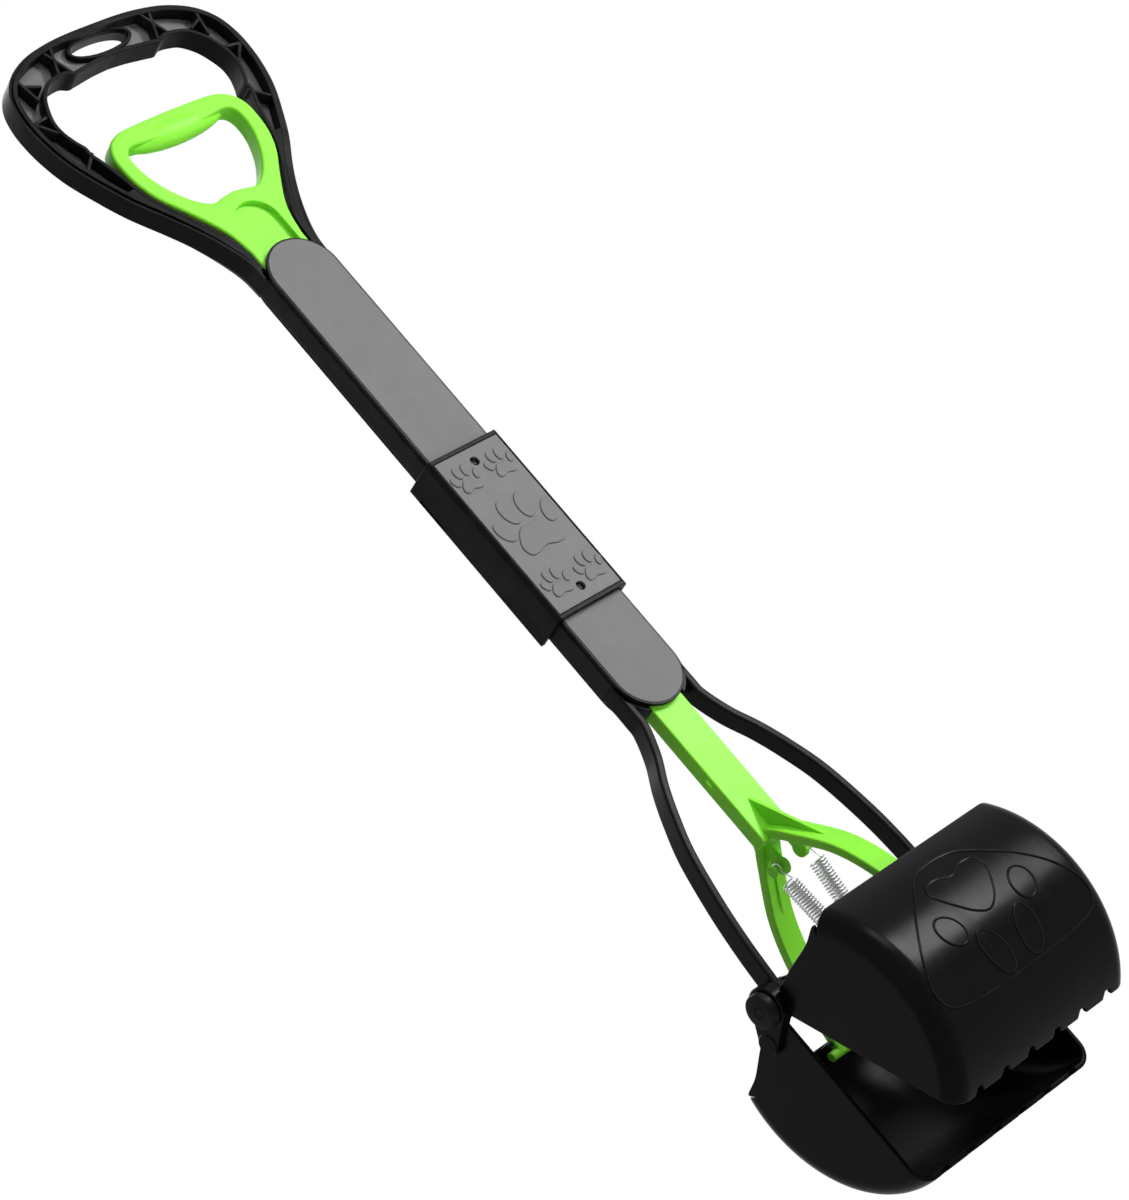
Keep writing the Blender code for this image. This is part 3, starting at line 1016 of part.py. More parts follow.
def main():
    """Build the scoop from its sub-parts."""
    for old in list(bpy.data.objects):
        bpy.data.objects.remove(old, do_unlink=True)

    black = make_material("black_plastic", (0.012, 0.012, 0.013), 0.42)
    rail_black = make_material("rail_black", (0.014, 0.014, 0.015), 0.40)
    grey = make_material("grey_cover", (0.085, 0.086, 0.088), 0.55)
    rear_grey = make_material("grey_rear_cover", (0.075, 0.076, 0.078), 0.58)
    sleeve_black = make_material("sleeve_black", (0.014, 0.014, 0.015), 0.45)
    face_grey = make_material("sleeve_face_grey", (0.078, 0.079, 0.081), 0.55)
    green = make_material("trigger_green", (0.22, 0.80, 0.06), 0.36)
    rod_green = make_material("rod_green", (0.20, 0.76, 0.05), 0.38)
    knuckle_grey = make_material("knuckle_grey", (0.12, 0.12, 0.125), 0.5)
    steel = make_material("bright_steel", (0.68, 0.68, 0.70), 0.22, 1.0)
    screw_black = make_material("black_screw", (0.02, 0.02, 0.02), 0.35, 0.9)
    jaw_black = make_material("gloss_black_jaw", (0.008, 0.008, 0.009), 0.25)
    rear_jaw_black = make_material("gloss_black_rear_jaw", (0.008, 0.008, 0.009), 0.27)
    bush_black = make_material("bush_black", (0.02, 0.02, 0.02), 0.5)

    upper = add_body("upper_frame_body", (0.0, 0.0, 0.0))
    sleeve = add_body("sleeve_body", (0.0, 0.0, HINGE_Z))
    trigger = add_body("trigger_body", (0.0, 0.0, HINGE_Z))
    lower = add_body("lower_frame_body", (0.0, HINGE_BACKSET, HINGE_Z))
    rod = add_body("lower_rod_body", (0.0, 0.0, HINGE_Z))
    rear_pivot = add_body("rear_jaw_body", (0.0, PIVOT_BACKSET, PIVOT_Z))
    front_pivot = add_body("front_jaw_body", (0.0, PIVOT_BACKSET, PIVOT_Z))

    make_handle_frame(black, upper)
    upper_start = HINGE_Z + SHAFT_JOINT_GAP / 2
    upper_end = HINGE_Z + UPPER_COVER_TOP
    upper_screws = screw_places(UPPER_SCREW_HEIGHTS)
    make_cover("upper_front_cover", upper_start, upper_end, True, (), grey, upper)
    upper_start = HINGE_Z + UPPER_REAR_COVER_START
    make_cover("upper_rear_cover", upper_start, upper_end, False, upper_screws, rear_grey,
               upper)
    make_cover_screws("upper_cover", upper_screws, screw_black, upper)
    make_hinge_pins(steel, upper)
    make_sleeve(sleeve_black, face_grey, screw_black, sleeve)
    make_trigger(green, trigger)
    make_rod_knuckle(knuckle_grey, steel, trigger)

    make_rail("left_rail", -1, rail_black, lower)
    make_rail("right_rail", 1, rail_black, lower)
    lower_screws = screw_places([-drop for drop in LOWER_SCREW_DROPS])
    lower_end = HINGE_Z - LOWER_COVER_DROP
    make_cover("lower_front_cover", HINGE_Z - SHAFT_JOINT_GAP / 2, lower_end, True, (), grey, lower)
    lower_start = HINGE_Z - LOWER_REAR_COVER_START
    make_cover("lower_rear_cover", lower_start, lower_end, False, lower_screws, rear_grey,
               lower)
    make_cover_screws("lower_cover", lower_screws, screw_black, lower)
    make_lower_rod(rod_green, rod)
    make_axle(steel, screw_black, bush_black, lower, front_pivot)

    make_jaw("rear_jaw", 1, (REAR_EAR_INNER, REAR_EAR_OUTER), REAR_EAR_RADIUS, AXLE_BORE, rear_jaw_black,
             rear_pivot)
    front_bore = AXLE_BORE + BUSH_WALL + AXLE_CLEARANCE
    make_jaw("front_jaw", -1, (FRONT_EAR_INNER, FRONT_EAR_OUTER), JAW_EAR_RADIUS, front_bore, jaw_black,
             front_pivot)
    front_pivot.rotation_euler.x = -math.radians(FRONT_JAW_LIFT_DEG)

    make_spring("front_spring", 1, steel, lower)
    make_spring("rear_spring", -1, steel, lower)
    bpy.context.view_layer.update()


if __name__ == "__main__":
    main()
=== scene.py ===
"""Looks of a long-handled folding jaw scoop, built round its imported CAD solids.

All lengths are in metres in the frame of the solids: +Z runs up the shaft, -Y is the front, and the
origin is the middle of the hanging slot. Heights called "shaft heights" are measured from the fold.
"""

from __future__ import annotations

import logging
import math
from dataclasses import dataclass, replace
from enum import Enum
from functools import cache
from typing import Callable, Iterable, Sequence

import bmesh
import bpy
from mathutils import Matrix, Vector


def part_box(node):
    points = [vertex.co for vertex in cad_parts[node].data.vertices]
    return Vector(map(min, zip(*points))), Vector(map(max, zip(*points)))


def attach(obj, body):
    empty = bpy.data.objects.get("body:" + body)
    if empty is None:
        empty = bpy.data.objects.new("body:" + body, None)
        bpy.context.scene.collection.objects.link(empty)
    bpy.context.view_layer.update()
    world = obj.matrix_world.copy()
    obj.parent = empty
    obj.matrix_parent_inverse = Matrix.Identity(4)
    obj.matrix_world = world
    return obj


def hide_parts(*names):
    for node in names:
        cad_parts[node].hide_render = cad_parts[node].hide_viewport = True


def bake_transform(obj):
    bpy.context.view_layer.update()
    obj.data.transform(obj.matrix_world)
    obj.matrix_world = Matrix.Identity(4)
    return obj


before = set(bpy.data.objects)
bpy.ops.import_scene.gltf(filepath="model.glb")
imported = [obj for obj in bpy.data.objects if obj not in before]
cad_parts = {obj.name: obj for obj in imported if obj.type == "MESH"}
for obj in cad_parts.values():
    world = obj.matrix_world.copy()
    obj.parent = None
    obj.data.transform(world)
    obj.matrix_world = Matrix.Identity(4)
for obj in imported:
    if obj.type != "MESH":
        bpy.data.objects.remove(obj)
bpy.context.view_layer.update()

LOG = logging.getLogger("scoop")
MM = 0.001
Point = tuple[float, float]
Curve = list[Vector]
Triple = tuple[float, float, float]
Shape = bmesh.types.BMesh
Piece = bpy.types.Object
X_AXIS, Y_AXIS, Z_AXIS = (Vector(axis) for axis in Matrix.Identity(3))
MERGE_DISTANCE = 1e-7
CUT_DISTANCE = 1e-6
SMOOTH_ANGLE = 32.0
CORNER_ANGLE = 50.0
FINE_SOFT = 0.0004
SMALL_SOFT = 0.0005
TUCK = 0.0004
OVERCUT = 0.001
ROUND_STEPS = 40
CORNER_STEPS = 4
WHITE = (1.0, 1.0, 1.0, 1.0)


class Plane(Enum):
    """The plane that a flat outline lies in, by the axis that it is pushed along."""

    ALONG_X = "X"
    ALONG_Y = "Y"
    ALONG_Z = "Z"

    def place(self, first: float, second: float, station: float) -> Vector:
        """Return the 3-D point of a 2-D one at a station along the axis."""
        if self is Plane.ALONG_X:
            return Vector((station, first, second))
        if self is Plane.ALONG_Y:
            return Vector((first, station, second))
        return Vector((first, second, station))

    def push(self, distance: float) -> Vector:
        """Return the step that moves a point along the axis."""
        return self.place(0.0, 0.0, distance)


class Sign(Enum):
    """A direction along one axis, whose value is the sign of its coordinate."""

    @property
    def word(self) -> str:
        """Name used in piece names."""
        return self.name.lower()

    def span(self, first: float, second: float) -> Point:
        """Put two distances from the middle on this side, in rising order."""
        return tuple(sorted((self.value * first, self.value * second)))


class Side(Sign):
    """Left or right of the shaft."""

    LEFT = -1
    RIGHT = 1


class Face(Sign):
    """Front or back of the tool."""

    FRONT = -1
    REAR = 1


# ---------------------------------------------------------------- curves


def run_through(knots: Sequence[Vector], steps: int) -> Curve:
    """Run Catmull-Rom spans between the inner knots of a row.

    Args:
        knots: the points to pass through, with one more before and behind.
        steps: pieces for each span.

    Returns:
        The points of the curve, without the last one.
    """
    curve: Curve = []
    for index in range(1, len(knots) - 2):
        before, start, end, after = knots[index - 1:index + 3]
        for step in range(steps):
            share = step / steps
            curve.append(0.5 * (2 * start + (end - before) * share
                                + (2 * before - 5 * start + 4 * end - after) * share ** 2
                                + (3 * start - before - 3 * end + after) * share ** 3))
    return curve


def smooth_curve(points: Sequence[Sequence[float]], steps: int) -> Curve:
    """Run an open curve through 2-D points, in so many steps for each span."""
    knots = [Vector(point) for point in points]
    return run_through([2 * knots[0] - knots[1], *knots, 2 * knots[-1] - knots[-2]], steps) + knots[-1:]


def closed_curve(points: Sequence[Sequence[float]], steps: int) -> Curve:
    """Run a closed curve through 2-D points, in so many steps for each span."""
    knots = [Vector(point) for point in points]
    return run_through([knots[-1], *knots, *knots[:2]], steps)


def offset_curve(curve: Curve, distance: float) -> Curve:
    """Shift an open 2-D curve to its left by a distance."""
    shifted: Curve = []
    for index, point in enumerate(curve):
        along = curve[min(index + 1, len(curve) - 1)] - curve[max(index - 1, 0)]
        along.normalize()
        shifted.append(point + Vector((-along.y, along.x)) * distance)
    return shifted


def flipped(points: Iterable[Sequence[float]], sign: float = -1.0) -> Curve:
    """Return 2-D points with their first coordinate times a sign."""
    return [Vector((sign * point[0], point[1])) for point in points]


def mirrored(curve: Curve) -> Curve:
    """Join a half curve, given from the centre line outwards, to its mirror image."""
    return flipped(reversed(curve)) + list(curve[1:] if abs(curve[0].x) < CUT_DISTANCE else curve)


def ellipse(half_width: float, half_height: float, centre: Point, count: int = 64,
            tilt: float = 0.0) -> Curve:
    """Return an ellipse, turned by tilt in radians."""
    turn = Matrix.Rotation(tilt, 2)
    return [turn @ Vector((half_width * math.cos(2 * math.pi * step / count),
                           half_height * math.sin(2 * math.pi * step / count))) + Vector(centre)
            for step in range(count)]


def strip_outline(start: float, end: float, width: float) -> Curve:
    """Outline of a strip from a square start to a half-round end, in X and Z."""
    half = width / 2
    way = 1.0 if end > start else -1.0
    centre = end - way * half
    outline = [Vector((-half, start)), Vector((half, start))]
    for step in range(ROUND_STEPS + 1):
        turn = math.pi * step / ROUND_STEPS
        outline.append(Vector((half * math.cos(turn), centre + way * half * math.sin(turn))))
    return outline


def rounded_box(half_width: float, half_height: float, radius: float) -> Curve:
    """Outline of a rectangle with rounded corners about the origin."""
    outline: Curve = []
    for quarter, (across, up) in enumerate(((1, 1), (-1, 1), (-1, -1), (1, -1))):
        for step in range(CORNER_STEPS + 1):
            turn = math.pi / 2 * (quarter + step / CORNER_STEPS)
            outline.append(Vector((across * (half_width - radius) + radius * math.cos(turn),
                                   up * (half_height - radius) + radius * math.sin(turn))))
    return outline


# ---------------------------------------------------------------- meshes


def prism(outline: Sequence[Sequence[float]], low: float, high: float, plane: Plane) -> Shape:
    """Push a flat outline along an axis.

    Args:
        outline: corners in the other two axes.
        low: first station.
        high: last station.
        plane: the axis to push along.

    Returns:
        A closed shape.
    """
    shape = bmesh.new()
    corners = [shape.verts.new(plane.place(point[0], point[1], low)) for point in outline]
    edges = [shape.edges.new((corners[index - 1], corner)) for index, corner in enumerate(corners)]
    bmesh.ops.edgeloop_fill(shape, edges=edges)
    pushed = bmesh.ops.extrude_face_region(shape, geom=shape.faces[:])["geom"]
    moved = [part for part in pushed if isinstance(part, bmesh.types.BMVert)]
    bmesh.ops.translate(shape, verts=moved, vec=plane.push(high - low))
    bmesh.ops.recalc_face_normals(shape, faces=shape.faces[:])
    return shape


def block(low: Sequence[float], high: Sequence[float]) -> Shape:
    """A rectangular block between two corners."""
    shape = bmesh.new()
    bmesh.ops.create_cube(shape, size=1.0)
    size = Vector(high) - Vector(low)
    bmesh.ops.scale(shape, vec=size, verts=shape.verts[:])
    bmesh.ops.translate(shape, vec=(Vector(low) + Vector(high)) / 2, verts=shape.verts[:])
    return shape


def turned(profile: Sequence[Point], centre: Point, plane: Plane, segments: int = 48,
           hollow: bool = False) -> Shape:
    """Spin a profile of (radius, station) pairs about an axis.

    Args:
        profile: the half section, in order along the axis.
        centre: where the axis lies in the other two coordinates.
        plane: names the axis.
        segments: steps of the full turn.
        hollow: whether the profile joins up round a hole, instead of ending on the axis.

    Returns:
        A closed shape.
    """
    shape = bmesh.new()
    if not hollow:
        profile = [(0.0, profile[0][1]), *profile, (0.0, profile[-1][1])]
    corners = [shape.verts.new(plane.place(centre[0] + radius, centre[1], station))
               for radius, station in profile]
    pairs = zip(corners[-1:] + corners, corners) if hollow else zip(corners, corners[1:])
    edges = [shape.edges.new(pair) for pair in pairs]
    bmesh.ops.spin(shape, geom=corners + edges, cent=plane.place(*centre, 0.0), axis=plane.push(1.0),
                   dvec=(0.0, 0.0, 0.0), angle=2 * math.pi, steps=segments, use_merge=True)
    bmesh.ops.remove_doubles(shape, verts=shape.verts[:], dist=MERGE_DISTANCE)
    bmesh.ops.recalc_face_normals(shape, faces=shape.faces[:])
    return shape


def disc(radius: float, ends: Point, centre: Point, soft: float, segments: int = ROUND_STEPS) -> Shape:
    """Make a round disc along X, with softened rims."""
    near, far = ends
    return turned([(radius - soft, near), (radius, near + soft), (radius, far - soft), (radius - soft, far)],
                  centre, Plane.ALONG_X, segments)


def skin(rings: Iterable[Iterable[Vector]], closed: bool = False) -> Shape:
    """Join a row of rings of corners.

    Args:
        rings: the corners of each ring.
        closed: whether the last ring joins the first, instead of both being filled.

    Returns:
        A closed shape.
    """
    shape = bmesh.new()
    loops = []
    for ring in rings:
        corners = [shape.verts.new(place) for place in ring]
        loops.append([shape.edges.new((corners[step - 1], corner)) for step, corner in enumerate(corners)])
    for near, far in zip(loops[-1:] + loops, loops) if closed else zip(loops, loops[1:]):
        bmesh.ops.bridge_loops(shape, edges=near + far)
    if not closed:
        for loop in (loops[0], loops[-1]):
            bmesh.ops.edgeloop_fill(shape, edges=loop)
    bmesh.ops.recalc_face_normals(shape, faces=shape.faces[:])
    return shape


def sweep(path: Sequence[Vector], section: Curve) -> Shape:
    """Carry a section along a path.

    Args:
        path: 3-D points of the middle line.
        section: outline, whose first axis is held towards X.

    Returns:
        A closed shape.
    """
    rings = []
    for index, point in enumerate(path):
        along = (path[min(index + 1, len(path) - 1)] - path[max(index - 1, 0)]).normalized()
        first = (X_AXIS - along * X_AXIS.dot(along)).normalized()
        second = along.cross(first)
        rings.append([point + first * corner.x + second * corner.y for corner in section])
    return skin(rings)


def soften(shape: Shape, width: float, segments: int = 3,
           angle: float = 35.0) -> Shape:
    """Bevel the edges of a shape where its faces turn more than an angle in degrees."""
    edges = [edge for edge in shape.edges
             if len(edge.link_faces) == 2 and edge.calc_face_angle(0.0) > math.radians(angle)]
    bmesh.ops.bevel(shape, geom=edges, offset=width, offset_type="OFFSET", segments=segments,
                    profile=0.5, affect="EDGES", clamp_overlap=True, material=-1)
    return shape


def slice_levels(shape: Shape, levels: Iterable[float], normal: Vector) -> None:
    """Cut every face of a shape at planes square to a direction."""
    for level in levels:
        bmesh.ops.bisect_plane(shape, geom=shape.verts[:] + shape.edges[:] + shape.faces[:],
                               dist=CUT_DISTANCE, plane_co=normal * level, plane_no=normal)


def reshape(shape: Shape, rule: Callable[[Vector], Vector]) -> None:
    """Move every corner of a shape by a rule."""
    for corner in shape.verts:
        corner.co = rule(corner.co)


def add_object(name: str, data: bpy.types.ID) -> Piece:
    """Put data into the scene as an object."""
    thing = bpy.data.objects.new(name, data)
    bpy.context.scene.collection.objects.link(thing)
    return thing


def reshade(mesh: bpy.types.Mesh, smooth: float = SMOOTH_ANGLE) -> None:
    """Shade a mesh smooth, but for edges sharper than an angle in degrees."""
    mesh.shade_smooth()
    mesh.set_sharp_from_angle(angle=math.radians(smooth))


def make_piece(name: str, *shapes: Shape, smooth: float = SMOOTH_ANGLE) -> Piece:
    """Put shapes into one object at the origin and free them."""
    mesh = bpy.data.meshes.new(name)
    whole = bmesh.new()
    for shape in shapes:
        part = bpy.data.meshes.new(f"{name}_part")
        shape.to_mesh(part)
        shape.free()
        whole.from_mesh(part)
        bpy.data.meshes.remove(part)
    whole.to_mesh(mesh)
    whole.free()
    reshade(mesh, smooth)
    return add_object(name, mesh)


def evaluated_mesh(thing: Piece) -> bpy.types.Mesh:
    """Return the mesh that an object's modifiers or curve give."""
    bpy.context.view_layer.update()
    depsgraph = bpy.context.evaluated_depsgraph_get()
    return bpy.data.meshes.new_from_object(thing.evaluated_get(depsgraph))


def run_modifier(piece: Piece, kind: str, **settings: object) -> None:
    """Replace a piece's mesh by the one that a modifier with these settings gives."""
    step = piece.modifiers.new(kind, kind)
    for key, value in settings.items():
        setattr(step, key, value)
    mesh = evaluated_mesh(piece)
    piece.modifiers.clear()
    piece.data = mesh


def carve(piece: Piece, *tools: Shape) -> None:
    """Cut shapes out of a piece."""
    for number, shape in enumerate(tools):
        tool = make_piece(f"{piece.name}_tool_{number}", shape)
        run_modifier(piece, "BOOLEAN", operation="DIFFERENCE", solver="EXACT", object=tool)
        reshade(piece.data)
        bpy.data.objects.remove(tool, do_unlink=True)


def drill(piece: Piece, radius: float, ends: Point, places: Iterable[Point],
          segments: int) -> None:
    """Bore round holes along Y at places in X and Z."""
    for place in places:
        carve(piece, turned([(radius, end) for end in ends], place, Plane.ALONG_Y, segments))


def round_piece(piece: Piece, width: float, segments: int, angle: float = 40.0) -> None:
    """Bevel a carved piece's sharp edges."""
    run_modifier(piece, "BEVEL", width=width, segments=segments, limit_method="ANGLE",
                 angle_limit=math.radians(angle), use_clamp_overlap=True)
    reshade(piece.data)


# ---------------------------------------------------------------- shading


@dataclass(frozen=True)
class Layer:
    """A noise texture, with the span of its values that a mask stretches to 0 to 1."""

    scale: float
    detail: float
    roughness: float
    low: float = 0.0
    high: float = 1.0
    stretch: Triple = (1.0, 1.0, 1.0)


FLOW = Layer(26.0, 4.0, 0.55, 0.32, 0.68)
PATCHES = Layer(90.0, 3.0, 0.6, 0.35, 0.75)
RUBBED = Layer(60.0, 5.0, 0.65, 0.56, 0.74, (1.0, 1.0, 0.12))
GRAIN = Layer(2600.0, 2.0, 0.6)
RIPPLE = Layer(140.0, 2.0, 0.5)
DRAWN_LINES = Layer(900.0, 3.0, 0.6, stretch=(0.06, 1.0, 1.0))
STAINS = Layer(170.0, 4.0, 0.6, 0.58, 0.78)


class Wire:
    """A shader socket or a plain number, on which arithmetic adds Math nodes."""

    def __init__(self, board: "Board", value: object) -> None:
        """Hold a socket and the board that it lies on."""
        self.board = board
        self.value = value

    def _join(self, operation: str, first: object, second: object) -> "Wire":
        """Add one Math node."""
        inputs = {0: first, 1: second}
        node = self.board.add("ShaderNodeMath", {"operation": operation}, inputs)
        return Wire(self.board, node.outputs[0])

    def __add__(self, other: object) -> "Wire":
        """Sum."""
        return self._join("ADD", self, other)

    __radd__ = __add__

    def __sub__(self, other: object) -> "Wire":
        """Difference."""
        return self._join("SUBTRACT", self, other)

    def __rsub__(self, other: object) -> "Wire":
        """Reversed difference."""
        return self._join("SUBTRACT", other, self)

    def __mul__(self, other: object) -> "Wire":
        """Product."""
        return self._join("MULTIPLY", self, other)

    __rmul__ = __mul__

    def larger(self, other: object) -> "Wire":
        """Larger of the two."""
        return self._join("MAXIMUM", self, other)


class Board:
    """The node tree of a material or a world."""

    def __init__(self, owner: bpy.types.ID, output: str = "ShaderNodeOutputMaterial") -> None:
        """Start an empty tree with its output."""
        self.owner = owner
        owner.use_nodes = True
        self.tree = owner.node_tree
        self.tree.nodes.clear()
        self.end = self.tree.nodes.new(output)

    def add(self, kind: str, settings: dict[str, object] | None = None,
            inputs: dict[object, object] | None = None) -> bpy.types.Node:
        """Add a node.

        Args:
            kind: the node's type.
            settings: its own settings, which are set first.
            inputs: values or wires of its sockets, by name or number.

        Returns:
            The node.
        """
        node = self.tree.nodes.new(kind)
        for key, value in (settings or {}).items():
            setattr(node, key, value)
        for key, value in (inputs or {}).items():
            value = value.value if isinstance(value, Wire) else value
            if isinstance(value, bpy.types.NodeSocket):
                self.tree.links.new(value, node.inputs[key])
            else:
                node.inputs[key].default_value = value
        return node

    def noise(self, layer: Layer) -> Wire:
        """Return a layer's noise from 0 to 1, in object coordinates."""
        spot = self.add("ShaderNodeTexCoord").outputs["Object"]
        spot = self.add("ShaderNodeMapping", None, {"Vector": spot, "Scale": layer.stretch})
        node = self.add("ShaderNodeTexNoise", None, {
            "Vector": spot.outputs[0], "Scale": layer.scale, "Detail": layer.detail,
            "Roughness": layer.roughness})
        return Wire(self, node.outputs[0])

    def ramp(self, value: Wire, low: float, high: float) -> Wire:
        """Stretch a span of values to 0 to 1, and hold it there."""
        return Wire(self, self.add("ShaderNodeMapRange", {"clamp": True},
                                   {0: value, 1: low, 2: high, 3: 0.0, 4: 1.0}).outputs[0])

    def mask(self, layer: Layer) -> Wire:
        """Return a layer's noise, stretched."""
        return self.ramp(self.noise(layer), layer.low, layer.high)

    def blend(self, share: Wire, first: object, second: object) -> bpy.types.NodeSocket:
        """Mix two colours by a share."""
        ends = [(*value, 1.0) if isinstance(value, tuple) else value for value in (first, second)]
        return self.add("ShaderNodeMix", {"data_type": "RGBA"},
                        {0: share, 6: ends[0], 7: ends[1]}).outputs[2]

    def bump(self, height: Wire, depth: float, **under: bpy.types.NodeSocket) -> bpy.types.NodeSocket:
        """Turn a height into a normal, on top of the one under it."""
        return self.add("ShaderNodeBump", None,
                        {"Height": height, "Distance": depth, "Strength": 1.0, **under}).outputs[0]

    def mix(self, share: Wire, first: bpy.types.Node, second: bpy.types.Node) -> bpy.types.Node:
        """Mix two shaders by a share."""
        return self.add("ShaderNodeMixShader", None,
                        {0: share, 1: first.outputs[0], 2: second.outputs[0]})

    def finish(self, node: bpy.types.Node) -> bpy.types.ID:
        """Put a shader on the output and return the finished owner."""
        self.tree.links.new(node.outputs[0], self.end.inputs[0])
        return self.owner

    def surface(self, inputs: dict[str, object]) -> bpy.types.Node:
        """Add the surface shader."""
        return self.add("ShaderNodeBsdfPrincipled", None, inputs)


def shade(colour: Sequence[float], factor: float) -> tuple[float, float, float]:
    """Return a colour made lighter or darker."""
    return tuple(min(1.0, channel * factor) for channel in colour)


@dataclass(frozen=True)
class MouldedPlastic:
    """Injection moulded plastic with a fine grain, flow mottle, handling scuffs, and convex edges made
    lighter as partly wear and partly painted highlight.
    """

    name: str
    colour: Triple
    roughness: float
    grain_scale: float = GRAIN.scale
    grain_depth: float = 0.00003
    mottle: float = 0.06
    scuff: float = 0.10
    scuff_shade: float = 1.8
    # edge and the two fields below set how much lighter convex edges are made, where and how strongly:
    # partly edge wear, partly a painted highlight along the edges.
    edge: float = 1.6
    edge_wear_and_highlight_span: Point = (0.515, 0.56)
    edge_share: float = 0.8
    ripple_share: float = 2.5
    swings: Triple = (0.10, 0.12, 0.05)
    specular: float = 0.22

    def make(self) -> bpy.types.Material:
        """Build the material."""
        board = Board(bpy.data.materials.new(self.name))
        flow, rub = board.mask(FLOW), board.mask(RUBBED)
        base = board.blend(flow, *(shade(self.colour, 1.0 + way * self.mottle) for way in (-1, 1)))
        # Convex edges found by pointiness are lightened: partly wear, partly a painted highlight where light
        # would catch the edges.
        edges = Wire(board, board.add("ShaderNodeNewGeometry").outputs["Pointiness"])
        worn_and_highlit_edge = board.ramp(edges, *self.edge_wear_and_highlight_span) * board.mask(PATCHES) * self.edge_share
        base = board.blend(worn_and_highlit_edge, base, shade(self.colour, self.edge))
        base = board.blend(rub * self.scuff, base, shade(self.colour, self.scuff_shade))
        grain = board.noise(replace(GRAIN, scale=self.grain_scale))
        normal = board.bump(grain, self.grain_depth)
        normal = board.bump(board.noise(RIPPLE), self.grain_depth * self.ripple_share, Normal=normal)
        rub_swing, grain_swing, flow_swing = self.swings
        rough = (self.roughness + rub * rub_swing + (grain - 0.5) * grain_swing
                 + (flow - 0.5) * flow_swing)
        return board.finish(board.surface({"Base Color": base, "Roughness": rough, "Normal": normal,
                                           "Specular IOR Level": self.specular}))


@dataclass(frozen=True)
class PlatedSteel:
    """Bright wire or pins with drawn lines and a little tarnish."""

    name: str
    colour: Triple
    roughness: float
    tarnish: Triple = (0.30, 0.27, 0.23)
    tarnish_share: float = 0.35
    swings: Point = (0.25, 0.12)
    line_depth: float = 0.00001

    def make(self) -> bpy.types.Material:
        """Build the material."""
        board = Board(bpy.data.materials.new(self.name))
        lines, stain = board.noise(DRAWN_LINES), board.mask(STAINS)
        base = board.blend(stain * self.tarnish_share, self.colour, self.tarnish)
        rough = self.roughness + stain * self.swings[0] + (lines - 0.5) * self.swings[1]
        return board.finish(board.surface({"Base Color": base, "Metallic": 1.0, "Roughness": rough,
                                           "Normal": board.bump(lines, self.line_depth)}))


Finish = MouldedPlastic | PlatedSteel

# On the black plastics the large edge factors make the lightened edges stand out as painted highlight lines,
# besides wear.
BLACK_FRAME = MouldedPlastic("black_frame_plastic", (0.0068, 0.0068, 0.0071), 0.34, edge=5.0,
                             grain_depth=0.000022, specular=0.05)
# The channel floor is the frame's black plastic, given a mid grey colour as painted light falling into the
# channel.
FLOOR_PAINTED_LIGHT = MouldedPlastic("handle_floor_painted_light_plastic", (0.150, 0.150, 0.152), 0.62, grain_scale=1500.0,
                             grain_depth=0.00006, edge=1.5, specular=0.15)
RAIL_BLACK = MouldedPlastic("rail_plastic", (0.0042, 0.0042, 0.0045), 0.32, edge=6.0, grain_depth=0.00002,
                            specular=0.055)
SLEEVE_BLACK = MouldedPlastic("sleeve_plastic", (0.0042, 0.0042, 0.0045), 0.36, edge=6.0, specular=0.045,
                              grain_depth=0.000022)
COVER_GREY = MouldedPlastic("cover_plastic", (0.152, 0.153, 0.155), 0.60, grain_scale=1900.0,
                            grain_depth=0.00004, mottle=0.035, scuff=0.06, edge=1.12, specular=0.25)
FACE_GREY = MouldedPlastic("sleeve_face_plastic", (0.158, 0.159, 0.161), 0.60, grain_scale=1900.0,
                           grain_depth=0.00004, mottle=0.04, scuff=0.06, edge=1.15, specular=0.25)
TRIGGER_GREEN = MouldedPlastic("trigger_plastic", (0.262, 0.85, 0.045), 0.42, grain_depth=0.00002,
                               mottle=0.05, scuff=0.05, edge=1.15, specular=0.20)
ROD_GREEN = MouldedPlastic("rod_plastic", (0.262, 0.85, 0.043), 0.40, grain_depth=0.00002, mottle=0.05,
                           scuff=0.05, edge=1.15, specular=0.20)
JAW_BLACK = MouldedPlastic("jaw_plastic", (0.0026, 0.0026, 0.0028), 0.23, grain_depth=0.000012,
                           mottle=0.10, scuff=0.03, edge=4.0, specular=0.05)
REAR_JAW_BLACK = MouldedPlastic("rear_jaw_plastic", (0.0024, 0.0024, 0.0026), 0.27,
                                grain_depth=0.000012, mottle=0.10, scuff=0.03, edge=4.0, specular=0.045)
KNUCKLE_GREY = MouldedPlastic("knuckle_plastic", (0.12, 0.12, 0.125), 0.5)
BUSH_BLACK = MouldedPlastic("bush_plastic", (0.02, 0.02, 0.02), 0.5)
SPRING_STEEL = PlatedSteel("spring_steel", (0.56, 0.56, 0.57), 0.30)
PIN_STEEL = PlatedSteel("pin_steel", (0.62, 0.62, 0.63), 0.26)
SCREW_STEEL = PlatedSteel("screw_steel", (0.018, 0.018, 0.019), 0.38, (0.012, 0.012, 0.012))


@cache
def material_of(finish: Finish) -> bpy.types.Material:
    """Return the material of a finish, made at its first use."""
    return finish.make()


def paint(piece: Piece, finish: Finish) -> None:
    """Give a piece its material."""
    piece.data.materials.clear()
    piece.data.materials.append(material_of(finish))


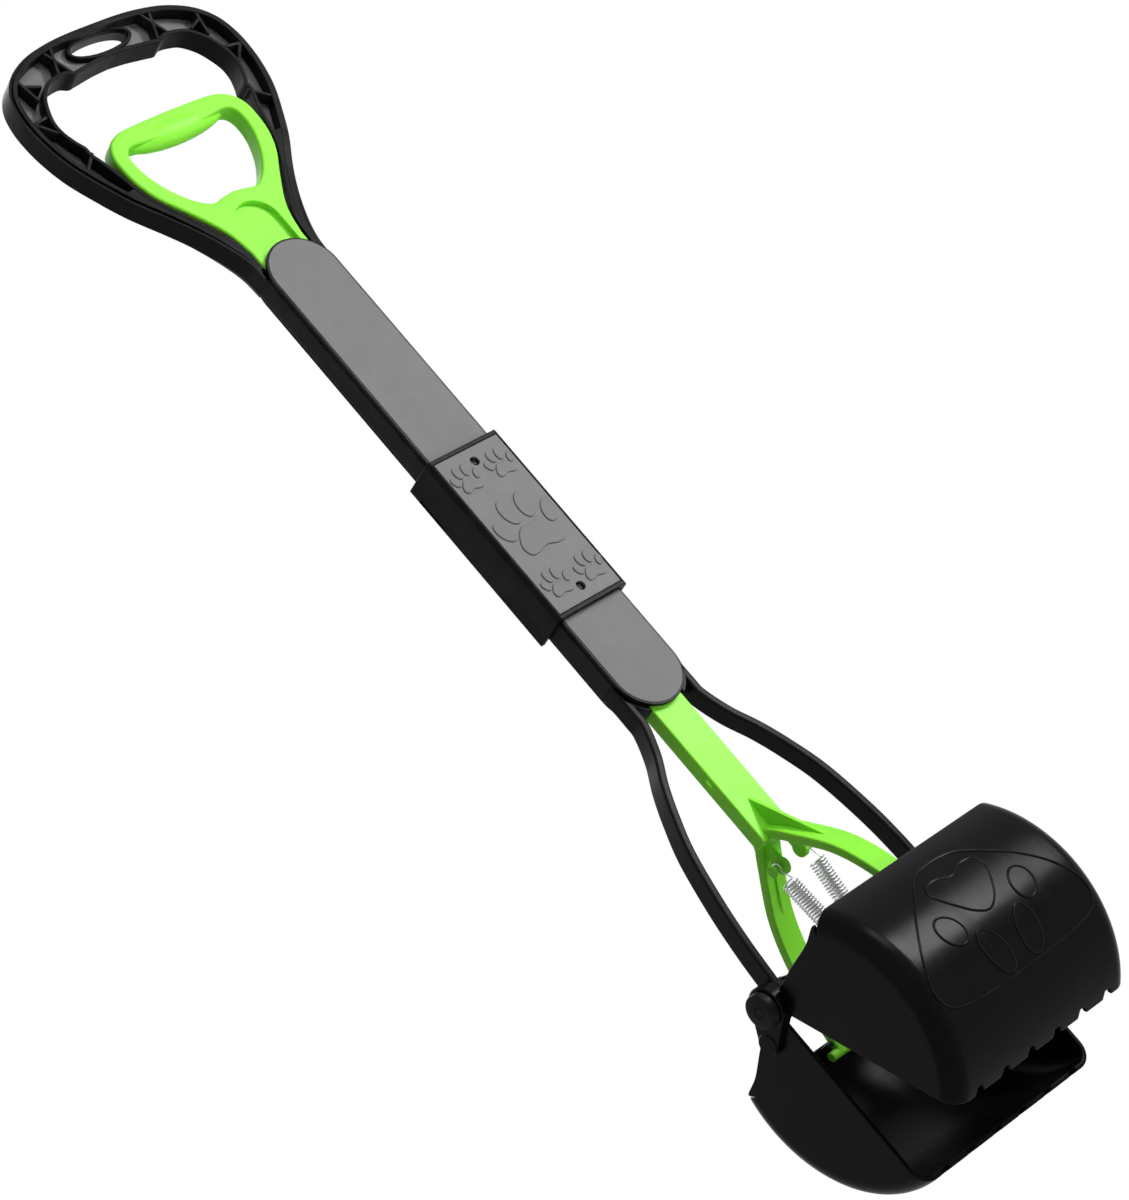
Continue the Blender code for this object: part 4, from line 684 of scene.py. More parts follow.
def dress(piece: Piece, finish: Finish, body: str, slot: str, *replaced: str) -> None:
    """Give a piece its finish and set it on its body.

    Args:
        piece: the finished piece.
        finish: its finish.
        body: the CAD body that carries it, or nothing for a piece that is set on no body.
        slot: the record's material slot; not used.
        replaced: CAD nodes that it stands for.
    """
    run_modifier(piece, "WEIGHTED_NORMAL", keep_sharp=True)
    paint(piece, finish)
    if body:
        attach(piece, body)
    if replaced:
        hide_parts(*replaced)
    LOG.info("%s: %d faces on %s", piece.name, len(piece.data.polygons), body)


def paint_node(node: str, finish: Finish) -> None:
    """Give a carried-over CAD node a detailed finish."""
    paint(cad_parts[node], finish)
    LOG.info("%s: CAD node kept", node)


# ---------------------------------------------------------------- shared sizes


@dataclass(frozen=True)
class Shaft:
    """Sizes that several sub-assemblies share, with the fold and pivot read from the solids."""

    width: float = 0.0422
    depth: float = 0.0112
    wall: float = 0.003
    cover_width: float = 0.041
    cover_front: float = 0.0083
    cover_back: float = 0.0059
    shoulder: float = 0.173
    cover_top: float = 0.189
    cover_low: float = -0.110
    rod_half: float = 0.0105
    rod_depth: float = 0.0044
    ear_radius: float = 0.0050

    @staticmethod
    def middle_of(node: str) -> Point:
        """Return the middle of a CAD node in Y and Z."""
        low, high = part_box(node)
        return (low.y + high.y) / 2, (low.z + high.z) / 2

    @property
    def hinge(self) -> Point:
        """The fold axis's place in Y and Z."""
        return self.middle_of("rod_pin")

    @property
    def pivot(self) -> Point:
        """The jaw axle's place in Y and Z."""
        return self.middle_of("jaw_axle")

    @property
    def cover_turn(self) -> float:
        """Height where the lower covers' round ends start."""
        return self.at(self.cover_low) + self.cover_width / 2

    def at(self, height: float) -> float:
        """Turn a shaft height into a height in the frame."""
        return self.hinge[1] + height

    def leg(self, side: Side) -> Point:
        """Return the span of one leg across the shaft."""
        return side.span(self.width / 2 - self.wall, self.width / 2)


SHAFT = Shaft()


def on_shaft(points: Iterable[Sequence[float]]) -> list[Point]:
    """Turn millimetres across and up the shaft into metres in the frame."""
    return [(across * MM, SHAFT.at(up * MM)) for across, up in points]


# ---------------------------------------------------------------- upper frame


@dataclass
class HandleFrame:
    """The black D-handle: a channel open to the front, with ribs, a hanging slot and two legs."""

    half_width: float = 72.5
    height: float = 168.3
    inner_half_width: float = 57.4
    inner_height: float = 147.3
    front: float = -0.0048
    back: float = 0.0081
    floor_front: float = 0.0024
    floor_overlap: float = 0.0007
    floor_low: float = 0.178
    floor_gap: float = 0.0002
    rim: float = 0.0022
    bead: float = 0.0014
    bead_drop: float = 0.0012
    groove: float = 0.0005
    groove_drop: float = 0.0028
    groove_soft: float = 0.0001
    seam: float = 0.0003
    soft: float = 0.0006
    rib: float = 0.0017
    rib_foot: float = 0.0006
    web_top: float = 0.249
    inner_low: float = 0.176
    leg_low: float = 0.0004
    leg_overlap: float = 0.006
    ear_hole: float = 0.0025
    ear_soft: float = 0.0005
    slot_half: Point = (0.0185, 0.0056)
    slot_wall: float = 0.0022
    collar_rise: float = 0.0034
    collar_soft: float = 0.0007
    taper: Point = (0.180, 0.236)
    taper_slices: int = 8
    outer_shares: tuple[Point, ...] = (
        (0.0, 1.0), (0.21, 0.999), (0.393, 0.993), (0.593, 0.977), (0.752, 0.950), (0.868, 0.915),
        (0.950, 0.867), (0.990, 0.810), (1.0, 0.747), (0.982, 0.668), (0.928, 0.580), (0.830, 0.489),
        (0.722, 0.404), (0.574, 0.312), (0.461, 0.232), (0.366, 0.148), (0.306, 0.071),
    )
    inner_shares: tuple[Point, ...] = (
        (0.0, 1.0), (0.19, 0.995), (0.418, 0.983), (0.495, 0.980), (0.575, 0.993), (0.690, 0.989),
        (0.793, 0.976), (0.897, 0.937), (0.958, 0.893), (1.0, 0.842), (0.997, 0.794), (0.958, 0.747),
        (0.917, 0.713), (0.912, 0.682), (0.871, 0.638), (0.806, 0.553), (0.728, 0.450), (0.500, 0.297),
        (0.355, 0.190), (0.312, 0.098),
    )
    ribs_mm: tuple[tuple[Point, Point], ...] = (
        ((28.6, 338.5), (36.4, 320.0)), ((35.9, 338.0), (28.2, 319.0)), ((59.4, 328.5), (56.2, 311.5)),
        ((57.9, 321.8), (49.2, 318.2)), ((59.2, 301.6), (69.2, 300.2)), ((68.4, 300.6), (59.6, 290.9)),
        ((51.7, 274.4), (61.2, 265.9)),
    )

    def curves(self) -> tuple[Curve, Curve]:
        """Return the outer and inner half outlines, from the top centre down to the legs."""
        base = SHAFT.shoulder / MM
        outer = [(x * self.half_width, base + z * self.height) for x, z in self.outer_shares]
        outer.append((SHAFT.width / 2 / MM, base))
        inner = [(x * self.inner_half_width, base + z * self.inner_height) for x, z in self.inner_shares]
        inner.append(((SHAFT.width / 2 - SHAFT.wall) / MM, base))
        return smooth_curve(on_shaft(outer), steps=6), smooth_curve(on_shaft(inner), steps=6)

    def thin_to_leg(self, shape: Shape, front: float, back: float) -> None:
        """Slice a shape through the taper, and thin it to the shaft's depth below."""
        start, end = self.taper
        levels = [SHAFT.at(start + (end - start) * step / self.taper_slices)
                  for step in range(self.taper_slices + 1)]
        slice_levels(shape, levels, Z_AXIS)

        def rule(place: Vector) -> Vector:
            share = min(1.0, max(0.0, (place.z - levels[0]) / (levels[-1] - levels[0])))
            share = share * share * (3 - 2 * share)
            leg = SHAFT.depth / 2 * (1 if place.y > (front + back) / 2 else -1)
            return Vector((place.x, leg + (place.y - leg) * share, place.z))
        reshape(shape, rule)

    @staticmethod
    def above(curve: Curve, height: float) -> Curve:
        """Return the points of a curve above a shaft height."""
        return [point for point in curve if point.y > SHAFT.at(height)]

    def ring(self, outside: Curve, inside: Curve, front: float, back: float) -> Shape:
        """Make a flat U-shaped ring between two half curves."""
        return prism(mirrored(outside) + mirrored(inside)[::-1], front, back, Plane.ALONG_Y)

    def slot(self, wall: float, front: float, back: float) -> Shape:
        """Make the hanging slot's shape, larger by a wall."""
        half_width, half_height = self.slot_half
        return prism(ellipse(half_width + wall, half_height + wall, (0.0, 0.0)), front, back, Plane.ALONG_Y)

    def floor(self, outer: Curve, inner: Curve) -> Piece:
        """Make the channel's floor with the hanging slot."""
        shape = self.ring(self.above(offset_curve(outer, -self.floor_overlap), SHAFT.shoulder),
                          self.above(offset_curve(inner, self.floor_overlap), self.floor_low),
                          self.floor_front, self.back - self.floor_gap)
        piece = make_piece("handle_floor", soften(shape, FINE_SOFT, 3, CORNER_ANGLE))
        carve(piece, self.slot(0.0, self.floor_front - OVERCUT, self.back + OVERCUT))
        return piece

    def collar(self) -> Piece:
        """Make the wall round the hanging slot."""
        top, foot = self.floor_front - self.collar_rise, self.floor_front + TUCK
        piece = make_piece("hang_collar", self.slot(self.slot_wall, top, foot))
        carve(piece, self.slot(0.0, top - OVERCUT, foot + OVERCUT))
        round_piece(piece, self.collar_soft, 3)
        return piece

    def rims(self, outer: Curve, inner: Curve) -> list[Shape]:
        """Make the bead, the groove beside it, the rim and the inner lip.

        Args:
            outer: the outer half outline.
            inner: the half outline of the opening.

        Returns:
            The four rings, from the outside inwards.
        """
        bead_edge = offset_curve(outer, -self.bead)
        rim_edge = offset_curve(outer, -self.bead - self.groove)
        rim_inner = offset_curve(outer, -self.bead - self.groove - self.rim)
        shapes = []
        for outside, inside, front, back, soft in (
                (outer, bead_edge, self.bead_drop, 0.0, self.soft),
                (offset_curve(bead_edge, self.seam), offset_curve(rim_edge, -self.seam), self.groove_drop,
                 2 * self.seam, self.groove_soft),
                (rim_edge, rim_inner, 0.0, self.seam, self.soft),
                (self.above(offset_curve(inner, self.rim), self.inner_low),
                 self.above(inner, self.inner_low), 0.0, 0.0, self.soft)):
            shape = self.ring(outside, inside, self.front + front, self.back - back)
            self.thin_to_leg(shape, self.front + front, self.back - back)
            shapes.append(soften(shape, soft, 3, CORNER_ANGLE))
        return shapes

    def web(self, outer: Curve, inner: Curve, side: Side) -> Shape:
        """Fill the channel beside one leg, up to its pocket.

        Args:
            outer: the outer half outline.
            inner: the half outline of the opening.
            side: the leg's side.

        Returns:
            A closed shape.
        """
        rim_edge = offset_curve(outer, -self.bead - self.groove)
        outline = [point for point in rim_edge + self.above(inner, self.inner_low)[::-1]
                   if point.y < SHAFT.at(self.web_top)]
        shape = prism(flipped(outline, side.value), self.front + self.seam, self.back - TUCK,
                      Plane.ALONG_Y)
        self.thin_to_leg(shape, self.front, self.back)
        return soften(shape, self.soft, 3, CORNER_ANGLE)

    def leg(self, side: Side) -> Shape:
        """Make one straight leg."""
        near, far = SHAFT.leg(side)
        return soften(block((near, -SHAFT.depth / 2, SHAFT.at(self.leg_low)),
                            (far, SHAFT.depth / 2, SHAFT.at(SHAFT.shoulder + self.leg_overlap))), self.soft)

    def ear(self, side: Side) -> Shape:
        """Make one outer ear of the fold hinge."""
        near, far = SHAFT.leg(side)
        radius, soft = SHAFT.ear_radius, self.ear_soft
        profile = [(self.ear_hole, near), (radius - soft, near), (radius, near + soft), (radius, far - soft),
                   (radius - soft, far), (self.ear_hole, far)]
        return turned(profile, SHAFT.hinge, Plane.ALONG_X, ROUND_STEPS, hollow=True)

    def ribs(self) -> list[Shape]:
        """Make the thin ribs across the channel."""
        shapes = []
        for ends in self.ribs_mm:
            start, finish = (Vector(place) for place in on_shaft(ends))
            along = (finish - start).normalized()
            across = Vector((-along.y, along.x)) * self.rib / 2
            corners = (start + across, finish + across, finish - across, start - across)
            for side in Side:
                rib = prism(flipped(corners, side.value), self.front + TUCK,
                            self.floor_front + self.rib_foot, Plane.ALONG_Y)
                shapes.append(soften(rib, SMALL_SOFT, 2))
        return shapes

    def dress(self) -> None:
        """Build the pieces and set them on the upper frame."""
        outer, inner = self.curves()
        webs = [self.web(outer, inner, side) for side in Side]
        legs = [shape for side in Side for shape in (self.leg(side), self.ear(side))]
        seat = "upper_frame", "black_plastic"
        dress(self.floor(outer, inner), FLOOR_PAINTED_LIGHT, *seat, "handle_frame")
        dress(self.collar(), BLACK_FRAME, *seat)
        dress(make_piece("handle_rims", *self.rims(outer, inner), *webs, *legs), BLACK_FRAME, *seat)
        dress(make_piece("handle_ribs", *self.ribs()), BLACK_FRAME, *seat)


@dataclass
class Cover:
    """A grey cover strip lying in a thin black tray, with one rounded end."""

    name: str
    start: float
    end: float
    face: Face
    body: str
    slot: str
    screws: tuple[Point, ...] = ()
    inset: float = 0.0011
    seat: float = 0.0004
    hole_radius: float = 0.0025
    soft: float = 0.00035
    tray_soft: float = 0.0003

    def strip(self, name: str, inset: float, ends: Point, soft: float, segments: int) -> Piece:
        """Build one strip with its screw holes.

        Args:
            name: the piece's name.
            inset: how much smaller than the cover it is at each edge.
            ends: its two depths.
            soft: width of its bevels.
            segments: their steps.

        Returns:
            The piece.
        """
        way = 1.0 if self.end > self.start else -1.0
        outline = strip_outline(SHAFT.at(self.start), SHAFT.at(self.end) - way * inset,
                                SHAFT.cover_width - 2 * inset)
        shape = prism(outline, *self.face.span(*ends), Plane.ALONG_Y)
        piece = make_piece(name, soften(shape, soft, segments))
        drill(piece, self.hole_radius, (SHAFT.cover_front + OVERCUT, SHAFT.cover_back - OVERCUT),
              [(x, SHAFT.at(z)) for x, z in self.screws], segments=32)
        return piece

    def dress(self) -> None:
        """Build the strip and its tray and set them on their body."""
        back, front = SHAFT.cover_back, SHAFT.cover_front
        strip = self.strip(self.name, self.inset, (back + self.seat, front), self.soft, 3)
        tray = self.strip(f"{self.name}_tray", 0.0, (back, front - self.seat), self.tray_soft, 2)
        dress(strip, COVER_GREY, self.body, self.slot, self.name)
        dress(tray, RAIL_BLACK, self.body, "black_plastic")


@dataclass
class ScrewHead:
    """A pan head with a cross recess."""

    name: str
    place: Point
    depth: float
    radius: float
    face: Face
    body: str
    node: str
    shank: float = 0.0040
    rise: float = 0.0009
    drive: float = 0.0004
    shares: tuple[Point, ...] = ((0.45, 1.0), (1.0, 1.0), (1.0, 0.45), (0.86, 0.16), (0.55, 0.0))
    arm_share: float = 0.62
    recess_share: float = 0.75

    def dress(self) -> None:
        """Build the head, cut its cross and set it on its body."""
        out, near = self.face.value, self.depth
        profile = [(self.radius * wide, near - out * self.rise * deep) for wide, deep in self.shares]
        profile.insert(0, (profile[0][0], near - out * self.shank))
        head = make_piece(self.name, turned(profile, self.place, Plane.ALONG_Y, segments=36))
        arm = self.radius * self.arm_share
        low, high = sorted((near + out * OVERCUT, near - out * self.rise * self.recess_share))
        for wide, tall in ((arm, self.drive), (self.drive, arm)):
            carve(head, block((self.place[0] - wide, low, self.place[1] - tall),
                              (self.place[0] + wide, high, self.place[1] + tall)))
        dress(head, SCREW_STEEL, self.body, "black_screw", self.node)


# ---------------------------------------------------------------- sleeve


@dataclass
class Sleeve:
    """The sliding sleeve with its grey face, raised paw prints and two sunk screws."""

    half_width: float = 0.0242
    front: float = 0.0114
    wall: float = 0.0027
    face_border: float = 0.0026
    face_gap: float = 0.00025
    face_depth: float = 0.0016
    lip_depth: float = 0.003
    chamfer: float = 0.0020
    chamfer_share: float = 0.9
    lip_tuck: float = 0.0005
    soft: float = 0.0004
    hole_radius: float = 0.0027
    face_hole_radius: float = 0.0026
    bridge_soft: float = 0.0007
    screw_spacing: float = 0.080
    screw_radius: float = 0.0023
    screw_sink: float = 0.0014
    screw_shank: float = 0.0012
    pad_rise: float = 0.00065
    pad_soft_share: float = 0.7
    paws: tuple[Triple, ...] = (
        (-11.2, 33.0, 0.56), (11.6, 32.7, 0.56), (0.4, -2.0, 1.20), (-10.1, -33.6, 0.56),
        (12.0, -34.2, 0.56),
    )
    pad: tuple[Point, ...] = (
        (0.0, 0.6), (4.6, 1.2), (8.6, -2.2), (11.0, -7.2), (9.4, -11.2), (5.2, -11.6), (0.0, -10.2),
        (-5.2, -11.6), (-9.4, -11.2), (-11.0, -7.2), (-8.6, -2.2), (-4.6, 1.2),
    )
    toes: tuple[tuple[float, ...], ...] = (
        (-4.6, 9.2, 3.9, 6.3, 8.0), (4.6, 9.2, 3.9, 6.3, -8.0), (-12.6, 2.4, 3.5, 5.6, 24.0),
        (12.6, 2.4, 3.5, 5.6, -24.0),
    )

    @property
    def low(self) -> float:
        """Lower end."""
        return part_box("sleeve_shell")[0].z

    @property
    def high(self) -> float:
        """Upper end."""
        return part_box("sleeve_shell")[1].z

    @property
    def middle(self) -> float:
        """Height of the sleeve's middle."""
        return (self.low + self.high) / 2

    @property
    def screws(self) -> list[Point]:
        """Places of the lower and upper screw."""
        return [(0.0, self.middle + side.value * self.screw_spacing / 2) for side in Side]

    def shell(self) -> Piece:
        """Make the black channel."""
        right, front, wall, cut = self.half_width, self.front, self.wall, self.chamfer
        lip, seat = right - self.face_border, self.face_depth - front
        half = [(right, front), (right - wall, front), (right - wall, wall - front)]
        half = [(lip, seat), (lip, -front), (right - cut * self.chamfer_share, -front), (right, cut - front),
                *half]
        section = flipped(half[::-1][3:]) + flipped(half, 1.0) + flipped(half[::-1][:3])
        shape = prism(section, self.low, self.high, Plane.ALONG_Z)
        piece = make_piece("sleeve_channel", soften(shape, self.soft, angle=30.0))
        drill(piece, self.hole_radius, (-front - OVERCUT, wall - front + OVERCUT), self.screws, 36)
        return piece

    def paw_shapes(self) -> list[Shape]:
        """Make every raised pad of the paw prints."""
        shapes = []
        for across, up, scale in self.paws:
            centre = Vector((across * MM, self.middle + up * MM))
            outlines = [[Vector(point) * MM for point in closed_curve(self.pad, steps=5)]]
            outlines += [ellipse(half_x * MM, half_z * MM, (x * MM, z * MM), ROUND_STEPS, math.radians(tilt))
                         for x, z, half_x, half_z, tilt in self.toes]
            for outline in outlines:
                pad = prism([centre + point * scale for point in outline], -self.front - self.pad_rise,
                            -self.front + TUCK, Plane.ALONG_Y)
                shapes.append(soften(pad, self.pad_rise * self.pad_soft_share))
        return shapes

    def face_plate(self) -> Piece:
        """Make the grey face."""
        half = self.half_width - self.face_border - self.face_gap
        shape = block((-half, -self.front, self.low + self.face_border),
                      (half, -self.front + self.face_depth, self.high - self.face_border))
        piece = make_piece("sleeve_plate", soften(shape, self.soft))
        drill(piece, self.face_hole_radius, (-self.front - OVERCUT, -self.front + self.lip_depth),
              self.screws, 36)
        return piece

    def end_lips(self) -> list[Shape]:
        """Make the thin borders above and below the grey face."""
        half = self.half_width - self.face_border + self.lip_tuck
        border = self.face_border - self.face_gap
        return [soften(block((-half, -self.front, low), (half, self.lip_depth - self.front, low + border)),
                       self.soft, 2) for low in (self.low, self.high - border)]

    def dress(self) -> None:
        """Build the sleeve and set it on its body."""
        black = SLEEVE_BLACK, "sleeve", "sleeve_black"
        grey = FACE_GREY, "sleeve", "sleeve_face_grey"
        dress(self.shell(), *black, "sleeve_shell")
        dress(make_piece("sleeve_borders", *self.end_lips()), *black)
        dress(self.face_plate(), *grey, "sleeve_face")
        dress(make_piece("sleeve_paw_prints", *self.paw_shapes()), *grey)
        bridge = soften(block(*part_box("sleeve_rear_bridge")), self.bridge_soft)
        dress(make_piece("sleeve_back", bridge), *black, "sleeve_rear_bridge")
        for word, place in zip(("upper", "lower"), reversed(self.screws)):
            ScrewHead(f"sleeve_screw_head_{word}", place, -self.front + self.screw_sink, self.screw_radius,
                      Face.FRONT, "sleeve", f"sleeve_screw_{word}", self.screw_shank).dress()


# ---------------------------------------------------------------- trigger


@dataclass
class Trigger:
    """The green D-grip, its dished neck and its rod."""

    half_width: float = 45.2
    base: float = 190.0
    height: float = 90.0
    half_depth: float = 0.0054
    neck_half: float = 17.0
    neck_low: float = 160.0
    soft: float = 0.0040
    opening_half: float = 36.4
    opening_base: float = 223.6
    opening_height: float = 45.4
    bar_height: float = 0.2714
    bar_half: Triple = (0.0320, 0.0061, 0.0084)
    dish_half: float = 0.0128
    dish_span: Point = (0.150, 0.217)
    dish_depth: float = 0.0030
    dish_soft: float = 0.0004
    rod_span: Point = (0.0085, 0.165)
    rod_soft: float = 0.0008
    prong_inner: float = 0.0052
    prong_seat: float = 0.0047
    prong_soft: float = 0.0004
    prong_heights: Triple = (0.0042, 0.0085, 0.0128)
    outline_shares: tuple[Point, ...] = (
        (0.0, 1.0), (0.50, 0.995), (0.74, 0.980), (0.90, 0.935), (0.985, 0.860), (1.0, 0.770),
        (0.975, 0.650), (0.88, 0.522), (0.70, 0.385), (0.51, 0.232), (0.425, 0.125),
    )
    opening_shares: tuple[Point, ...] = (
        (0.0, 0.955), (0.35, 0.962), (0.62, 0.985), (0.82, 1.0), (0.95, 0.955), (1.0, 0.82),
        (0.965, 0.60), (0.83, 0.34), (0.62, 0.115), (0.40, 0.0), (0.20, 0.02), (0.0, 0.04),
    )

    def grip(self) -> Piece:
        """Make the ring, with its bar swollen for the fingers."""
        half = [(x * self.half_width, self.base + z * self.height) for x, z in self.outline_shares]
        half.append((self.neck_half, self.base))
        outline = mirrored(smooth_curve(on_shaft(half), steps=7))
        outline += [Vector(place) for place in on_shaft([(self.neck_half, self.neck_low),
                                                         (-self.neck_half, self.neck_low)])]
        piece = make_piece("trigger_grip", prism(outline, -self.half_depth, self.half_depth, Plane.ALONG_Y))
        hole = smooth_curve(on_shaft([(x * self.opening_half, self.opening_base + z * self.opening_height)
                                      for x, z in self.opening_shares]), steps=6)
        closed = hole + flipped(hole[-2:0:-1])
        carve(piece, prism(closed, -self.half_depth * 2, self.half_depth * 2, Plane.ALONG_Y))
        round_piece(piece, self.soft, 5, CORNER_ANGLE)
        return piece

    def bar(self) -> Shape:
        """Make the swollen finger bar."""
        shape = bmesh.new()
        bmesh.ops.create_uvsphere(shape, u_segments=48, v_segments=32, radius=1.0)
        bmesh.ops.rotate(shape, matrix=Matrix.Rotation(math.pi / 2, 3, "Y"), verts=shape.verts[:])
        bmesh.ops.scale(shape, vec=self.bar_half, verts=shape.verts[:])
        bmesh.ops.translate(shape, vec=Z_AXIS * SHAFT.at(self.bar_height), verts=shape.verts[:])
        return shape

    def prong(self, side: Side) -> list[Shape]:
        """Make the eye and the web that hold the knuckle's pin on one side."""
        ends = side.span(self.prong_inner, SHAFT.rod_half)
        back, fold = SHAFT.hinge
        deep = SHAFT.rod_depth
        low, middle, high = (SHAFT.at(height) for height in self.prong_heights)
        web = [(-deep, high), (-deep, low), (back - self.prong_seat, fold), (back, fold), (deep, middle),
               (deep, high)]
        return [disc(SHAFT.ear_radius, ends, SHAFT.hinge, self.prong_soft), prism(web, *ends, Plane.ALONG_X)]

    def dress(self) -> None:
        """Build the grip, dish and rod and set them on the trigger's body."""
        seat = TRIGGER_GREEN, "trigger", "trigger_green"
        grip = self.grip()
        dish = strip_outline(*(SHAFT.at(height) for height in self.dish_span), 2 * self.dish_half)
        carve(grip, prism(dish, -self.half_depth - OVERCUT, -self.half_depth + self.dish_depth,
                          Plane.ALONG_Y))
        round_piece(grip, self.dish_soft, 3, angle=60.0)
        dress(grip, *seat, "trigger_handle")
        dress(make_piece("trigger_bar", self.bar()), *seat)
        half, deep = SHAFT.rod_half, SHAFT.rod_depth
        low, high = (SHAFT.at(height) for height in self.rod_span)
        rod = soften(block((-half, -deep, low), (half, deep, high)), self.rod_soft, 2)
        prongs = [shape for side in Side for shape in self.prong(side)]
        dress(make_piece("trigger_rod", rod, *prongs), *seat)
        paint_node("rod_knuckle", KNUCKLE_GREY)
        paint_node("rod_pin", PIN_STEEL)


# ---------------------------------------------------------------- lower frame


@dataclass
class LowerFrame:
    """The two side rails with their arms, eyes and hinge ears."""

    arm_width: float = 0.0044
    arm_corner: float = 0.0012
    span: float = 0.0576
    eye_radius: float = 0.0092
    eye_width: float = 0.0054
    eye_soft: float = 0.0008
    flange_rise: float = 0.0018
    flange_drop: float = 0.0002
    flange_steps: int = 18
    flare_steps: int = 3
    flange_soft: float = 0.0009
    rod_slot: float = 0.0113
    ear_span: Point = (0.0143, 0.0177)
    ear_soft: float = 0.0004
    shank_seat: float = 0.0049
    shank_heights: Point = (-0.0082, -0.0164)
    shank_back: float = 0.0055
    leg_top: float = -0.0004
    leg_view: tuple[Point, ...] = ((-0.0056, -0.0004), (-0.0048, -0.0035), (0.0, -0.0060))
    leg_back: float = -0.0082
    leg_soft: float = 0.0005
    foot_low: Triple = (0.016, -0.0014, -0.0161)
    foot_high: Triple = (0.0196, 0.0053, -0.0116)
    arm_shares: tuple[Point, ...] = (
        (0.342, -0.14), (0.342, -0.03), (0.352, 0.025), (0.452, 0.126), (0.596, 0.224), (0.718, 0.329),
        (0.838, 0.461), (0.932, 0.643), (0.980, 0.797), (0.998, 0.93), (1.0, 1.0),
    )

    def arm(self, side: Side) -> Shape:
        """Make one bowed arm."""
        pivot_y, pivot_z = SHAFT.pivot
        top = SHAFT.at(SHAFT.cover_low)
        drop = top - pivot_z
        line = smooth_curve([(side.value * x * self.span, top - z * drop) for x, z in self.arm_shares],
                            steps=8)
        path = []
        for point in line:
            share = min(1.0, max(0.0, (top - point.y) / drop))
            path.append(Vector((point.x, pivot_y * share ** 4, point.y)))
        return sweep(path, rounded_box(self.arm_width / 2, SHAFT.depth / 2, self.arm_corner))

    def eye(self, side: Side) -> Shape:
        """Make the disc that holds the jaw axle."""
        half = self.eye_width / 2
        return disc(self.eye_radius, side.span(self.span - half, self.span + half), SHAFT.pivot,
                    self.eye_soft, segments=56)

    def flange(self, side: Side) -> Shape:
        """Make the quarter ring round the end of the covers."""
        inner, outer = SHAFT.cover_width / 2 - SHAFT.wall, SHAFT.cover_width / 2 + self.flange_rise
        centre, rail, steps = SHAFT.cover_turn, SHAFT.width / 2, self.flange_steps

        def arc(last: float, step: int, reach: float) -> Point:
            turn = math.acos(self.rod_slot / last) * step / steps
            return reach * math.cos(turn), centre - self.flange_drop - reach * math.sin(turn)
        outline = [(rail, centre)]
        outline += [arc(outer, step, rail + (outer - rail) * min(1.0, step / self.flare_steps))
                    for step in range(steps + 1)]
        outline += [arc(inner, step, inner) for step in range(steps, -1, -1)]
        outline.append((inner, centre))
        shape = prism(flipped(outline, side.value), -SHAFT.depth / 2, SHAFT.depth / 2, Plane.ALONG_Y)
        return soften(shape, self.flange_soft, 3, CORNER_ANGLE)

    def leg(self, side: Side) -> Shape:
        """Make the straight rail under the sleeve."""
        back, deep, low = SHAFT.hinge[0], SHAFT.depth / 2, SHAFT.cover_turn
        view = [(-deep, SHAFT.at(self.leg_top)), *((back + y, SHAFT.at(z)) for y, z in self.leg_view),
                (deep, SHAFT.at(self.leg_back)), (deep, low), (-deep, low)]
        return soften(prism(view, *SHAFT.leg(side), Plane.ALONG_X), self.leg_soft)

    def inner_ear(self, side: Side) -> list[Shape]:
        """Make the hinge ear that stands inside the upper leg, and its web down to the rail."""
        ends = side.span(*self.ear_span)
        front = SHAFT.hinge[0] - self.shank_seat
        high, low = (SHAFT.at(height) for height in self.shank_heights)
        view = [(front, SHAFT.at(0.0)), (self.shank_back, high), (self.shank_back, low), (front, low)]
        return [disc(SHAFT.ear_radius, ends, SHAFT.hinge, self.ear_soft), prism(view, *ends, Plane.ALONG_X)]

    def foot(self, side: Side) -> Shape:
        """Make the block that joins the inner ear's web to the rail."""
        near, far = side.span(self.foot_low[0], self.foot_high[0])
        return block((near, self.foot_low[1], SHAFT.at(self.foot_low[2])),
                     (far, self.foot_high[1], SHAFT.at(self.foot_high[2])))

    def dress(self) -> None:
        """Build both rails and set them on the lower frame."""
        for side in Side:
            piece = make_piece(f"{side.word}_rail_and_arm", self.arm(side), self.eye(side),
                               self.flange(side), self.leg(side), *self.inner_ear(side), self.foot(side))
            dress(piece, RAIL_BLACK, "lower_frame", "rail_black", f"{side.word}_rail")


@dataclass
class JawAxle:
    """The axle's hub caps, each with a small sunk ring."""

    soft_share: float = 0.16
    ring_shares: Triple = (0.36, 0.33, 0.30)
    middle_share: float = 0.27
    ring_depth: float = 0.0004
    middle_depth: float = 0.0001
    ease: float = 0.3

    def cap(self, side: Side) -> None:
        """Build one cap and set it on the lower frame."""
        low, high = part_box(f"axle_cap_{side.word}")
        way = side.value
        near, far = (low.x, high.x)[::way]
        radius = (high.z - low.z) / 2
        soft = radius * self.soft_share
        rim, wall, foot = (radius * share for share in self.ring_shares)
        profile = [(radius, near)] + [(across, far - way * depth) for across, depth in (
            (radius, soft), (radius - soft * self.ease, soft * self.ease), (radius - soft, 0.0), (rim, 0.0),
            (wall, self.ring_depth), (foot, self.ring_depth),
            (radius * self.middle_share, self.middle_depth))]
        piece = make_piece(f"hub_cap_{side.word}", turned(profile, SHAFT.pivot, Plane.ALONG_X, segments=64))
        dress(piece, BLACK_FRAME, "lower_frame", "black_screw", f"axle_cap_{side.word}")

    def dress(self) -> None:
        """Build both caps and paint the axle and its bushes."""
        for side in Side:
            self.cap(side)
            paint_node(f"front_jaw_bush_{side.word}", BUSH_BLACK)
        paint_node("jaw_axle", PIN_STEEL)


# ---------------------------------------------------------------- lower rod and springs


